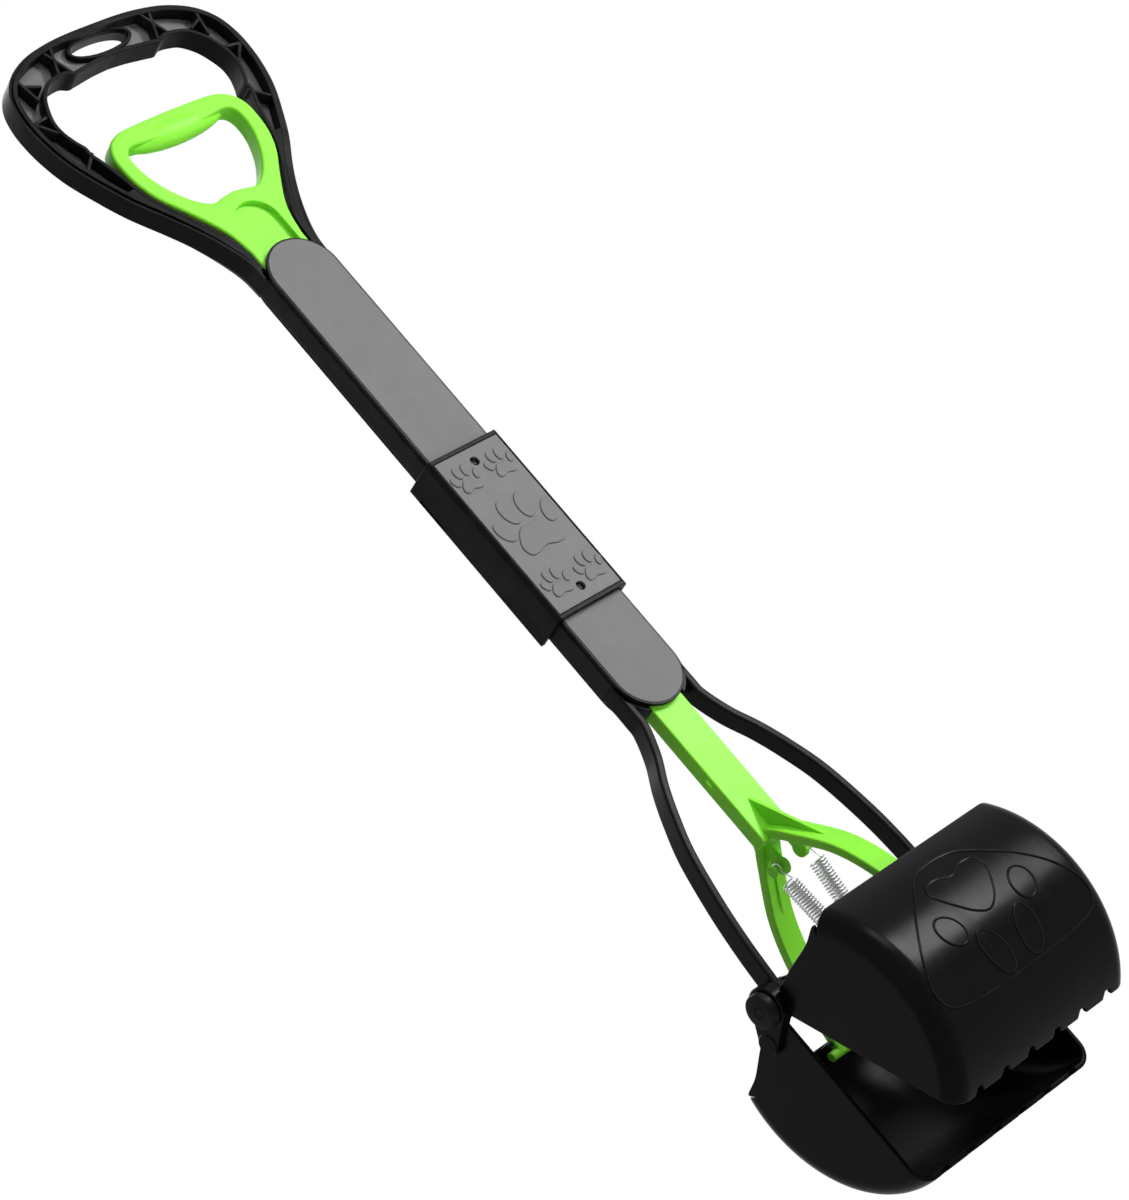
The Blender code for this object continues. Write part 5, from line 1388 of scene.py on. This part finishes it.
@dataclass
class LowerRod:
    """The green rod with its forked straps, fins, feet and spring posts."""

    top: float = -0.0065
    seat_radius: float = 0.0054
    seat_depth: float = 0.0018
    seat_length: float = 0.024
    seat_reach: float = 0.02
    rod_soft: float = 0.0010
    crotch: float = -0.186
    spread: float = 0.056
    drop: float = 0.095
    strap_width: float = 0.014
    strap_thickness: float = 0.0050
    strap_corner: float = 0.0011
    foot_radius: float = 0.0025
    foot_half: float = 0.0118
    foot_soft: float = 0.0005
    fin_top: float = -0.168
    fin_share: float = 0.52
    fin_half: float = 0.0011
    fin_overlap: float = 0.0016
    fin_drop: float = 0.0003
    tab_span: Point = (0.0100, 0.0119)
    tab_half: float = 0.002
    tab_heights: Point = (-0.154, -0.150)
    post_drop: float = -0.202
    post_back: float = 0.006
    post_profile: tuple[Point, ...] = (
        (0.0040, 0.0012), (0.0044, 0.0016), (0.0044, 0.0038), (0.0040, 0.0042), (0.0017, 0.0043),
        (0.0016, 0.0092), (0.0026, 0.0093), (0.0030, 0.0096), (0.0028, 0.0102),
    )
    boss_span: Point = (0.0015, 0.0042)
    boss_half: float = 0.0030
    boss_overlap: float = 0.0040
    spring_offset: float = 0.0065
    shares: tuple[Point, ...] = (
        (0.05, 0.0), (0.17, 0.055), (0.30, 0.13), (0.437, 0.21), (0.57, 0.295), (0.684, 0.395),
        (0.777, 0.505), (0.853, 0.621), (0.92, 0.747), (0.972, 0.875), (1.0, 1.0),
    )

    def strap_line(self) -> Curve:
        """Return one strap's middle line in Y and Z."""
        crotch = SHAFT.at(self.crotch)
        return smooth_curve([(y * self.spread, crotch - z * self.drop) for y, z in self.shares], steps=7)

    def lean(self, height: float) -> float:
        """Return how far back the fork leans at a height, to meet the jaws evenly."""
        share = max(0.0, (SHAFT.at(self.crotch) - height) / self.drop)
        return SHAFT.pivot[0] * share ** 4

    def rod(self) -> Piece:
        """Make the flat rod with its knuckle seat."""
        half, deep = SHAFT.rod_half, SHAFT.rod_depth
        shape = block((-half, -deep, SHAFT.at(self.crotch) - deep), (half, deep, SHAFT.at(self.top)))
        piece = make_piece("green_rod", soften(shape, self.rod_soft))
        reach = self.seat_reach
        carve(piece, turned([(self.seat_radius, -reach), (self.seat_radius, reach)], SHAFT.hinge,
                            Plane.ALONG_X, ROUND_STEPS),
              block((-reach, self.seat_depth, SHAFT.at(self.top - self.seat_length)),
                    (reach, reach, SHAFT.at(0.0))))
        return piece

    def strap(self, face: Face) -> list[Shape]:
        """Make one curved strap with its foot."""
        path = [Vector((0.0, face.value * point.x + self.lean(point.y), point.y))
                for point in self.strap_line()]
        centre = face.value * self.spread + SHAFT.pivot[0], SHAFT.at(self.crotch) - self.drop
        return [sweep(path, rounded_box(self.strap_width / 2, self.strap_thickness / 2, self.strap_corner)),
                disc(self.foot_radius, (-self.foot_half, self.foot_half), centre, self.foot_soft,
                     segments=32)]

    def fins(self) -> list[Shape]:
        """Make the thin three-cornered fins and the side tabs."""
        line = self.strap_line()
        low = line[int(len(line) * self.fin_share)]
        top = SHAFT.at(self.fin_top)
        shapes = []
        for face in Face:
            way = face.value
            outline = [(0.0, top), (way * SHAFT.rod_depth, top), (way * (low.x + self.fin_overlap), low.y),
                       (way * low.x, low.y), (0.0, SHAFT.at(self.crotch) - self.fin_drop)]
            shapes.append(prism(outline, -self.fin_half, self.fin_half, Plane.ALONG_X))
        bottom, top = (SHAFT.at(height) for height in self.tab_heights)
        for side in Side:
            near, far = side.span(*self.tab_span)
            shapes.append(block((near, -self.tab_half, bottom), (far, self.tab_half, top)))
        return [soften(shape, FINE_SOFT, 2) for shape in shapes]

    def post(self, face: Face) -> list[Shape]:
        """Make the round boss and post that hold one spring's hook, and the web above them."""
        way = -face.value
        back, height = face.value * self.post_back, SHAFT.at(self.post_drop)
        near, far = Side(way).span(*self.boss_span)
        web = block((near, back - self.boss_half, height),
                    (far, back + self.boss_half, SHAFT.at(self.crotch) + self.boss_overlap))
        return [turned([(radius, way * station) for radius, station in self.post_profile], (back, height),
                       Plane.ALONG_X, segments=36), soften(web, SMALL_SOFT, 2)]

    def dress(self) -> None:
        """Build the rod's pieces and set them on its body."""
        seat = ROD_GREEN, "lower_rod", "rod_green"
        dress(self.rod(), *seat, "lower_rod")
        straps = [shape for face in Face for shape in self.strap(face)]
        posts = [shape for face in Face for shape in self.post(face)]
        dress(make_piece("green_fork", *straps), *seat)
        dress(make_piece("green_fins", *self.fins()), *seat)
        dress(make_piece("green_spring_posts", *posts), *seat)


@dataclass
class ReturnSpring:
    """One close-wound extension spring with a hook at each end."""

    face: Face
    radius: float = 0.0040
    wire: float = 0.00044
    turns: int = 22
    steps: int = 18
    hook_steps: int = 24
    top_tail: float = 0.0085
    top_hook: float = 0.0027
    top_turns: Point = (150.0, -240.0)
    top_reach: float = 0.0026
    foot_tail: float = 0.0075
    foot_hook: float = 0.0037
    foot_turns: Point = (55.0, 235.0)
    held: float = 0.004

    @property
    def side(self) -> int:
        """Side of the shaft that the spring stands on."""
        return -self.face.value

    def ends(self) -> tuple[Vector, Vector]:
        """Return the middles of the axle and of the post that hold the hooks."""
        rod = LowerRod()
        across = self.side * rod.spring_offset
        return (Vector((across, *SHAFT.pivot)),
                Vector((across, -self.side * rod.post_back, SHAFT.at(rod.post_drop))))

    def hook(self, centre: Vector, axis: Vector, radius: float, turns: Point) -> list[Vector]:
        """Return the wire's line round one hook.

        Args:
            centre: middle of the hook.
            axis: the coil's axis.
            radius: the hook's radius.
            turns: start of the hook and how far it runs, in degrees.

        Returns:
            The points of the line.
        """
        outward = axis.cross(X_AXIS)
        places = []
        for step in range(self.hook_steps + 1):
            turn = math.radians(turns[0] + turns[1] * step / self.hook_steps)
            places.append(centre + (outward * math.cos(turn) - axis * math.sin(turn)) * radius)
        return places

    def route(self) -> list[Vector]:
        """Return the wire's middle line."""
        foot, top = self.ends()
        axis = (foot - top).normalized()
        outward = axis.cross(X_AXIS)
        route = [place for place in self.hook(top, axis, self.top_hook, self.top_turns)
                 if (place - top).dot(axis) < self.top_reach]
        start = top + axis * self.top_tail
        length = (foot - top).length - self.top_tail - self.foot_tail
        steps = self.turns * self.steps
        for step in range(steps + 1):
            turn = 2 * math.pi * step / self.steps
            reach = outward * math.cos(turn) + X_AXIS * self.side * math.sin(turn)
            route.append(start + reach * self.radius + axis * length * step / steps)
        return route + self.hook(foot, axis, self.foot_hook, self.foot_turns)

    def dress(self) -> None:
        """Build the spring between the lower frame's axle and the rod's post, and set it on no body."""
        line = bpy.data.curves.new(f"{self.face.word}_spring_wire", "CURVE")
        line.dimensions = "3D"
        line.bevel_depth = self.wire
        line.bevel_resolution = 2
        line.use_fill_caps = True
        route = self.route()
        spline = line.splines.new("POLY")
        spline.points.add(len(route) - 1)
        for knot, place in zip(spline.points, route):
            knot.co = (*place, 1.0)
        holder = add_object("spring_line", line)
        mesh = evaluated_mesh(holder)
        bpy.data.objects.remove(holder, do_unlink=True)
        mesh.shade_smooth()
        piece = add_object(f"{self.face.word}_spring_coil", mesh)
        dress(piece, SPRING_STEEL, "", "bright_steel", f"{self.face.word}_spring")
        foot, top = self.ends()
        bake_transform(piece)


# ---------------------------------------------------------------- jaws


@dataclass
class Jaw:
    """One curved jaw, built closed about its pivot and then turned to its rest place."""

    face: Face
    body: str
    finish: MouldedPlastic
    slot: str
    ear_span: tuple[float, float]
    ear_radius: float
    lift: float = 0.0
    half_width: float = 0.0645
    wall: float = 0.0024
    radius: float = 0.0684
    centre_back: float = 0.0040
    centre_drop: float = 0.0385
    top_drop: float = 0.0200
    top_out: float = 0.0625
    corner: float = 0.0100
    relief: float = 0.0114
    parting: float = 0.00035
    notch_count: int = 6
    notch_pitch: float = 0.019
    notch_width: float = 0.0065
    notch_depth: float = 0.0040
    arc_steps: int = 56
    notch_steps: int = 9
    relief_steps: int = 10
    round_soft: float = 0.0006
    ear_reach: float = 0.0200
    ear_lean: float = 36.5
    ear_share: float = 0.55
    lip_span: Point = (0.0082, 0.0124)
    lip_start: float = 0.052
    lip_gap: float = 0.0035
    lip_height: float = 0.0026
    top_shares: tuple[Point, ...] = ((0.88, 0.98), (0.69, 0.84), (0.44, 0.50), (0.27, 0.30))

    @property
    def centre(self) -> Vector:
        """Middle of the shell's arc, as distance out and height over the pivot."""
        return Vector((-self.centre_back, -self.centre_drop))

    def on_arc(self, turn: float, rise: float = 0.0) -> Vector:
        """Return a point over the arc, at a turn from straight down."""
        reach = self.radius + rise
        return self.centre + Vector((reach * math.sin(turn), -reach * math.cos(turn)))

    @property
    def first_turn(self) -> float:
        """Turn of the toothed edge."""
        return math.asin((self.parting + self.centre_back) / self.radius)

    @property
    def last_turn(self) -> float:
        """Turn of the shell's top edge."""
        return math.pi / 2 + math.asin((self.centre_drop - self.top_drop) / self.radius)

    def place(self, out: float, up: float, across: float) -> Vector:
        """Turn closed-jaw coordinates into a point of the frame at rest."""
        pivot_y, pivot_z = SHAFT.pivot
        turn = Matrix.Rotation(-math.radians(self.lift), 3, "X")
        return turn @ Vector((across, self.face.value * out, up)) + Vector((0.0, pivot_y, pivot_z))

    def set_down(self, shape: Shape) -> Shape:
        """Move a shape made in X, out and up into the frame."""
        reshape(shape, lambda spot: self.place(spot.y, spot.z, spot.x))
        bmesh.ops.recalc_face_normals(shape, faces=shape.faces[:])
        return shape

    @property
    def notch_places(self) -> list[float]:
        """Places of the notches across the jaw."""
        return [(number - (self.notch_count - 1) / 2) * self.notch_pitch
                for number in range(self.notch_count)]

    def section(self) -> list[Point]:
        """Return the shell's section, as places across and rises from its arc."""
        turns = [math.pi / 2 * step / self.notch_steps for step in range(self.notch_steps + 1)]
        left = [(self.corner * (1 - math.cos(turn)) - self.half_width, self.corner * (math.sin(turn) - 1))
                for turn in turns]
        middle = [(place + side.value * self.notch_width / 4, 0.0)
                  for place in self.notch_places for side in Side]
        return left + middle + [(-across, rise) for across, rise in reversed(left)]

    def meet_parting(self, corner: bmesh.types.BMVert) -> None:
        """Slide a corner along its own arc to the plane where the jaws meet."""
        reach = (Vector((corner.co.y, corner.co.z)) - self.centre).length
        corner.co.y = self.parting
        corner.co.z = self.centre.y - math.sqrt(reach ** 2 - (self.parting - self.centre.x) ** 2)

    def add_teeth(self, shape: Shape, ring: list[bmesh.types.BMVert]) -> None:
        """Extend the shell's lower edge between the notches."""
        bases = set(ring)
        edges = []
        for edge in shape.edges:
            if edge.verts[0] in bases and edge.verts[1] in bases:
                middle = (edge.verts[0].co.x + edge.verts[1].co.x) / 2
                if min(abs(middle - place) for place in self.notch_places) > self.notch_width / 8:
                    edges.append(edge)
        grown = bmesh.ops.extrude_edge_only(shape, edges=edges)["geom"]
        for corner in (part for part in grown if isinstance(part, bmesh.types.BMVert)):
            for place in self.notch_places:
                offset = corner.co.x - place
                if abs(abs(offset) - self.notch_width / 4) < CUT_DISTANCE:
                    corner.co.x = place + math.copysign(self.notch_width / 2, offset)
            self.meet_parting(corner)

    def add_panel(self, shape: Shape, side: Side) -> None:
        """Close one side of the shell with a flat panel."""
        across = side.value * self.half_width
        rim = [corner for corner in shape.verts if abs(corner.co.x - across) < MERGE_DISTANCE]
        rim.sort(key=lambda corner: math.atan2(corner.co.y - self.centre.x, self.centre.y - corner.co.z))
        top = smooth_curve([rim[-1].co.yz, *((out * self.top_out, -drop * self.top_drop)
                                             for out, drop in self.top_shares)], steps=5)[1:]
        top = [point for point in top if point.length > self.relief]
        start = math.atan2(top[-1].y, top[-1].x)
        for step in range(self.relief_steps + 1):
            turn = start + (-math.pi / 2 - start) * step / self.relief_steps
            top.append(Vector((math.cos(turn), math.sin(turn))) * self.relief)
        top[-1].x = self.parting
        fresh = [shape.verts.new((across, point.x, point.y)) for point in top]
        loop = rim + fresh
        edges = [shape.edges.get(pair) or shape.edges.new(pair)
                 for pair in zip(loop, loop[1:] + loop[:1])]
        bmesh.ops.edgeloop_fill(shape, edges=edges)

    def shell(self) -> Piece:
        """Make the curved shell with its two side panels."""
        shape = bmesh.new()
        start = self.first_turn + self.notch_depth / self.radius
        ring = [shape.verts.new((across, *self.on_arc(start, rise))) for across, rise in self.section()]
        edges = [shape.edges.new(pair) for pair in zip(ring, ring[1:])]
        bmesh.ops.spin(shape, geom=ring + edges, cent=(0.0, *self.centre), axis=X_AXIS,
                       dvec=(0.0, 0.0, 0.0), angle=self.last_turn - start, steps=self.arc_steps)
        self.add_teeth(shape, ring)
        for side in Side:
            self.add_panel(shape, side)
        bmesh.ops.remove_doubles(shape, verts=shape.verts[:], dist=MERGE_DISTANCE)
        bmesh.ops.recalc_face_normals(shape, faces=shape.faces[:])
        panel = max(shape.faces, key=lambda face: len(face.verts))
        if panel.normal.x * panel.calc_center_median().x < 0:
            bmesh.ops.reverse_faces(shape, faces=shape.faces[:])
        reshape(shape, lambda spot: self.place(spot.y, spot.z, spot.x))
        if self.face is Face.FRONT:
            bmesh.ops.reverse_faces(shape, faces=shape.faces[:])
        piece = make_piece(f"{self.face.word}_jaw_shell", shape)
        run_modifier(piece, "SOLIDIFY", thickness=self.wall, offset=-1.0, use_even_offset=True,
                     use_rim=True)
        reshade(piece.data)
        round_piece(piece, self.round_soft, 3, CORNER_ANGLE)
        return piece

    def ear(self, side: Side) -> list[Shape]:
        """Make one hinge ear with its web, and the boss between the web and the side panel.

        Args:
            side: the ear's side.

        Returns:
            The shapes, for a closed jaw about its pivot.
        """
        lean, soft = math.radians(self.ear_lean), self.round_soft
        foot_radius = self.ear_radius * self.ear_share
        foot = Vector((math.cos(lean), -math.sin(lean))) * self.ear_reach
        across = Vector((foot.y, -foot.x)).normalized()
        near, far = side.span(*self.ear_span)
        web = [across * self.ear_radius, foot + across * foot_radius, foot - across * foot_radius,
               -across * self.ear_radius]
        panel = self.half_width - self.wall / 2
        reach = side.span(min(self.ear_span[0], panel), max(self.ear_span[1], panel))
        return [disc(self.ear_radius, (near, far), (0.0, 0.0), soft, segments=48),
                soften(prism(web, near + soft, far - soft, Plane.ALONG_X), FINE_SOFT, 2),
                disc(foot_radius, reach, tuple(foot), soft)]

    def lip(self, side: Side) -> Shape:
        """Make one small ledge over the fork's foot."""
        low = SHAFT.at(LowerRod.crotch) - LowerRod.drop - SHAFT.pivot[1] + self.lip_gap
        near, far = side.span(*self.lip_span)
        return soften(block((near, self.lip_start, low),
                            (far, self.top_out - self.wall / 2, low + self.lip_height)), SMALL_SOFT, 2)

    def dress(self) -> None:
        """Build the jaw and set it on its body."""
        seat = self.finish, self.body, self.slot
        dress(self.shell(), *seat, f"{self.face.word}_jaw")
        shapes = [shape for side in Side for shape in self.ear(side)] + [self.lip(side) for side in Side]
        dress(make_piece(f"{self.face.word}_jaw_ears", *map(self.set_down, shapes)), *seat)


@dataclass
class JawEmblem:
    """The paw mark on the front jaw: a raised line round a raised pad and four toes.

    Places are millimetres across the jaw and along its curve from straight down.
    """

    jaw: Jaw
    line_radius: float = 0.00055
    line_share: float = 1.2
    line_steps: int = 8
    rise: float = 0.00020
    soft_share: float = 0.8
    sink: float = 0.0006
    slice_length: float = 0.0015
    border: tuple[Point, ...] = (
        (0.0, 110.5), (14.0, 108.0), (27.0, 97.5), (38.0, 87.5), (48.5, 75.0), (55.0, 63.0),
        (55.2, 54.0), (49.0, 48.0), (34.0, 45.2), (12.0, 44.5),
    )
    pad: tuple[Point, ...] = (
        (0.0, 98.0), (9.0, 101.0), (16.0, 100.0), (18.5, 95.5), (16.2, 89.5), (12.0, 83.5), (7.0, 78.0),
        (0.0, 74.8),
    )
    toes: tuple[tuple[float, ...], ...] = (
        (26.0, 76.5, 6.6, 8.4, -24.0), (11.6, 58.0, 6.4, 12.0, -14.0),
    )

    def wrap(self, across: float, along: float, rise: float) -> Vector:
        """Lay a flat place onto the jaw's curve."""
        spot = self.jaw.on_arc(along / self.jaw.radius, rise)
        return self.jaw.place(spot.x, spot.y, across)

    def ridge(self, flat: Curve) -> Shape:
        """Make a raised line along a closed flat curve."""
        path = [self.wrap(point.x, point.y, 0.0) for point in flat]
        turns = [2 * math.pi * step / self.line_steps for step in range(self.line_steps)]
        rings = []
        for index, point in enumerate(path):
            along = (path[(index + 1) % len(path)] - path[index - 1]).normalized()
            up = (self.wrap(flat[index].x, flat[index].y, MM) - point).normalized()
            across = along.cross(up) * self.line_share
            rings.append([point + (across * math.cos(turn) + up * math.sin(turn)) * self.line_radius
                          for turn in turns])
        return skin(rings, closed=True)

    def raised(self, outline: Curve) -> Shape:
        """Make a thin raised patch that follows the jaw's curve."""
        shape = soften(prism(outline, -self.sink, self.rise, Plane.ALONG_Z), self.rise * self.soft_share)
        low, high = min(point.y for point in outline), max(point.y for point in outline)
        count = max(3, int((high - low) / self.slice_length))
        slice_levels(shape, [low + (high - low) * step / count for step in range(1, count)], Y_AXIS)
        reshape(shape, lambda spot: self.wrap(spot.x, spot.y, spot.z))
        bmesh.ops.recalc_face_normals(shape, faces=shape.faces[:])
        return shape

    def outlines(self) -> list[Curve]:
        """Return the flat outlines of the border, the pad and the toes, in metres."""
        border = [Vector(point) * MM for point in self.border]
        pad = [Vector(point) * MM for point in self.pad]
        curves = [closed_curve([*border, Vector((0.0, border[-1].y)), *flipped(border[:0:-1])], steps=10),
                  closed_curve([*pad, *flipped(pad[-2:0:-1])], steps=10)]
        for side in Side:
            curves += [ellipse(half_x * MM, half_s * MM, (side.value * x * MM, s * MM), 48,
                               math.radians(side.value * tilt)) for x, s, half_x, half_s, tilt in self.toes]
        return curves

    def dress(self) -> None:
        """Build the mark and set it on the jaw's body."""
        outlines = self.outlines()
        patches = [self.ridge(outline) for outline in outlines]
        patches += [self.raised(outline) for outline in outlines[1:]]
        piece = make_piece("front_jaw_paw_mark", *patches, smooth=30.0)
        dress(piece, self.jaw.finish, self.jaw.body, self.jaw.slot)


# ---------------------------------------------------------------- room, light and camera


@dataclass(frozen=True)
class Lamp:
    """A rectangular soft light aimed at a point."""

    name: str
    place: Triple
    size: Point
    power: float
    aim: Triple = (0.0, 0.0, -0.35)

    def hang(self) -> None:
        """Add the light."""
        data = bpy.data.lights.new(self.name, "AREA")
        data.shape = "RECTANGLE"
        data.size, data.size_y = self.size
        data.energy = self.power
        lamp = add_object(self.name, data)
        lamp.location = self.place
        lamp.rotation_euler = (Vector(self.aim) - Vector(self.place)).to_track_quat("-Z", "Y").to_euler()


@dataclass
class Studio:
    """A pale floor, a pale world, soft lamps and the camera of the photograph."""

    floor_height: float = -0.98
    floor_size: float = 14.0
    floor_colour: tuple[float, ...] = (0.86, 0.86, 0.86, 1.0)
    floor_roughness: float = 0.7
    floor_glow: float = 0.7
    world_light: float = 0.10
    focal: float = 124.96
    sensor: float = 36.0
    clip_end: float = 60.0
    eye: Triple = (-1.1760, -1.3756, -0.4644)
    right: Triple = (0.67603, -0.38088, -0.63080)
    up: Triple = (0.38008, -0.55315, 0.74133)
    back: Triple = (-0.63128, -0.74092, -0.22918)
    lamps: tuple[Lamp, ...] = (
        Lamp("key", (0.35, -1.9, 0.85), (1.1, 0.8), 19.0),
        Lamp("band", (1.20, -1.50, 0.02), (0.26, 0.75), 29.0, (0.0, -0.1, -0.6)),
        Lamp("fill", (-2.3, -1.0, -0.1), (1.6, 2.0), 1.6),
        Lamp("rim", (0.4, 1.7, 0.9), (1.4, 1.0), 8.0),
    )

    @staticmethod
    def shown(board: Board, *rays: str) -> Wire:
        """Return 1 for any of these kinds of ray, and 0 for the others."""
        path = board.add("ShaderNodeLightPath").outputs
        share = Wire(board, path[rays[0]])
        for ray in rays[1:]:
            share = share.larger(path[ray])
        return share

    def world(self) -> None:
        """Light the room evenly, and show it white."""
        world = bpy.data.worlds.new("pale_room")
        bpy.context.scene.world = world
        board = Board(world, "ShaderNodeOutputWorld")
        lit, seen = (board.add("ShaderNodeBackground", None, {0: WHITE, 1: strength})
                     for strength in (self.world_light, 1.0))
        share = self.shown(board, "Is Camera Ray", "Is Transmission Ray", "Is Glossy Ray")
        board.finish(board.mix(share, lit, seen))

    def floor(self) -> None:
        """Lay the floor, which glows where the camera or a reflection sees it."""
        shape = bmesh.new()
        bmesh.ops.create_grid(shape, x_segments=1, y_segments=1, size=self.floor_size / 2)
        bmesh.ops.translate(shape, vec=Z_AXIS * self.floor_height, verts=shape.verts[:])
        floor = make_piece("studio_floor", shape)
        board = Board(bpy.data.materials.new("floor_paint"))
        flat = board.surface({"Base Color": self.floor_colour, "Roughness": self.floor_roughness})
        glow = board.add("ShaderNodeEmission", None, {"Color": WHITE, "Strength": 1.0})
        share = self.shown(board, "Is Camera Ray", "Is Glossy Ray") * self.floor_glow
        floor.data.materials.append(board.finish(board.mix(share, flat, glow)))

    def camera(self) -> None:
        """Set the camera at the photograph's eye."""
        data = bpy.data.cameras.new("photo_camera")
        data.lens = self.focal
        data.sensor_width = self.sensor
        data.sensor_fit = "HORIZONTAL"
        data.clip_end = self.clip_end
        camera = add_object("photo_camera", data)
        turn = Matrix((self.right, self.up, self.back)).transposed().to_4x4()
        camera.matrix_world = Matrix.Translation((*self.eye[:2], SHAFT.at(self.eye[2]))) @ turn
        bpy.context.scene.camera = camera

    def set_up(self) -> None:
        """Build the room."""
        self.world()
        self.floor()
        for lamp in self.lamps:
            lamp.hang()
        self.camera()
        bpy.context.scene.view_settings.view_transform = "Standard"


# ---------------------------------------------------------------- the whole tool


@dataclass(frozen=True)
class Half:
    """The covers and cover screws of one half of the shaft, by shaft heights."""

    word: str
    front_start: float
    rear_start: float
    end: float
    heights: Point
    screw_inset: float = 0.0022
    screw_radius: float = 0.0022
    screw_sink: float = 0.0003

    @property
    def screws(self) -> tuple[Point, ...]:
        """Places of the cover screws, as across and shaft height."""
        across = SHAFT.width / 2 - SHAFT.wall - self.screw_inset
        return tuple((side.value * across, height) for height in self.heights for side in Side)

    def add_covers(self) -> None:
        """Build the front and the rear cover."""
        for face, start, slot, screws in ((Face.FRONT, self.front_start, "grey_cover", ()),
                                          (Face.REAR, self.rear_start, "grey_rear_cover", self.screws)):
            Cover(f"{self.word}_{face.word}_cover", start, self.end, face, f"{self.word}_frame", slot,
                  screws).dress()

    def add_screws(self) -> None:
        """Build the rear cover's screws."""
        for number, (across, height) in enumerate(self.screws, start=1):
            ScrewHead(f"{self.word}_screw_head_{number}", (across, SHAFT.at(height)),
                      SHAFT.cover_front - self.screw_sink, self.screw_radius, Face.REAR,
                      f"{self.word}_frame", f"{self.word}_cover_screw_{number}").dress()


HALVES = (Half("upper", 0.0002, 0.0435, SHAFT.cover_top, (0.056, 0.148)),
          Half("lower", -0.0002, -0.025, SHAFT.cover_low, (-0.036, -0.084)))


def add_jaws() -> None:
    """Build both jaws and the front jaw's mark."""
    eye_outer = LowerFrame.span + LowerFrame.eye_width / 2
    rear = Jaw(Face.REAR, "rear_jaw", REAR_JAW_BLACK, "gloss_black_rear_jaw", ear_radius=0.0104,
               ear_span=(eye_outer + TUCK, 0.0682))
    front = Jaw(Face.FRONT, "front_jaw", JAW_BLACK, "gloss_black_jaw", ear_radius=0.0085,
                ear_span=(0.0513, 0.0545), lift=29.0, radius=0.0678)
    rear.dress()
    front.dress()
    JawEmblem(front).dress()


def main() -> None:
    """Build every sub-assembly in order."""
    logging.basicConfig(level=logging.INFO, format="%(name)s: %(message)s")
    Studio().set_up()
    HandleFrame().dress()
    for half in HALVES:
        half.add_covers()
    for half in HALVES:
        half.add_screws()
    for side in Side:
        paint_node(f"hinge_pin_{side.word}", PIN_STEEL)
    for assembly in (Sleeve(), Trigger(), LowerFrame(), JawAxle(), LowerRod(),
                     *(ReturnSpring(face) for face in Face)):
        assembly.dress()
    add_jaws()


if __name__ == "__main__":
    main()
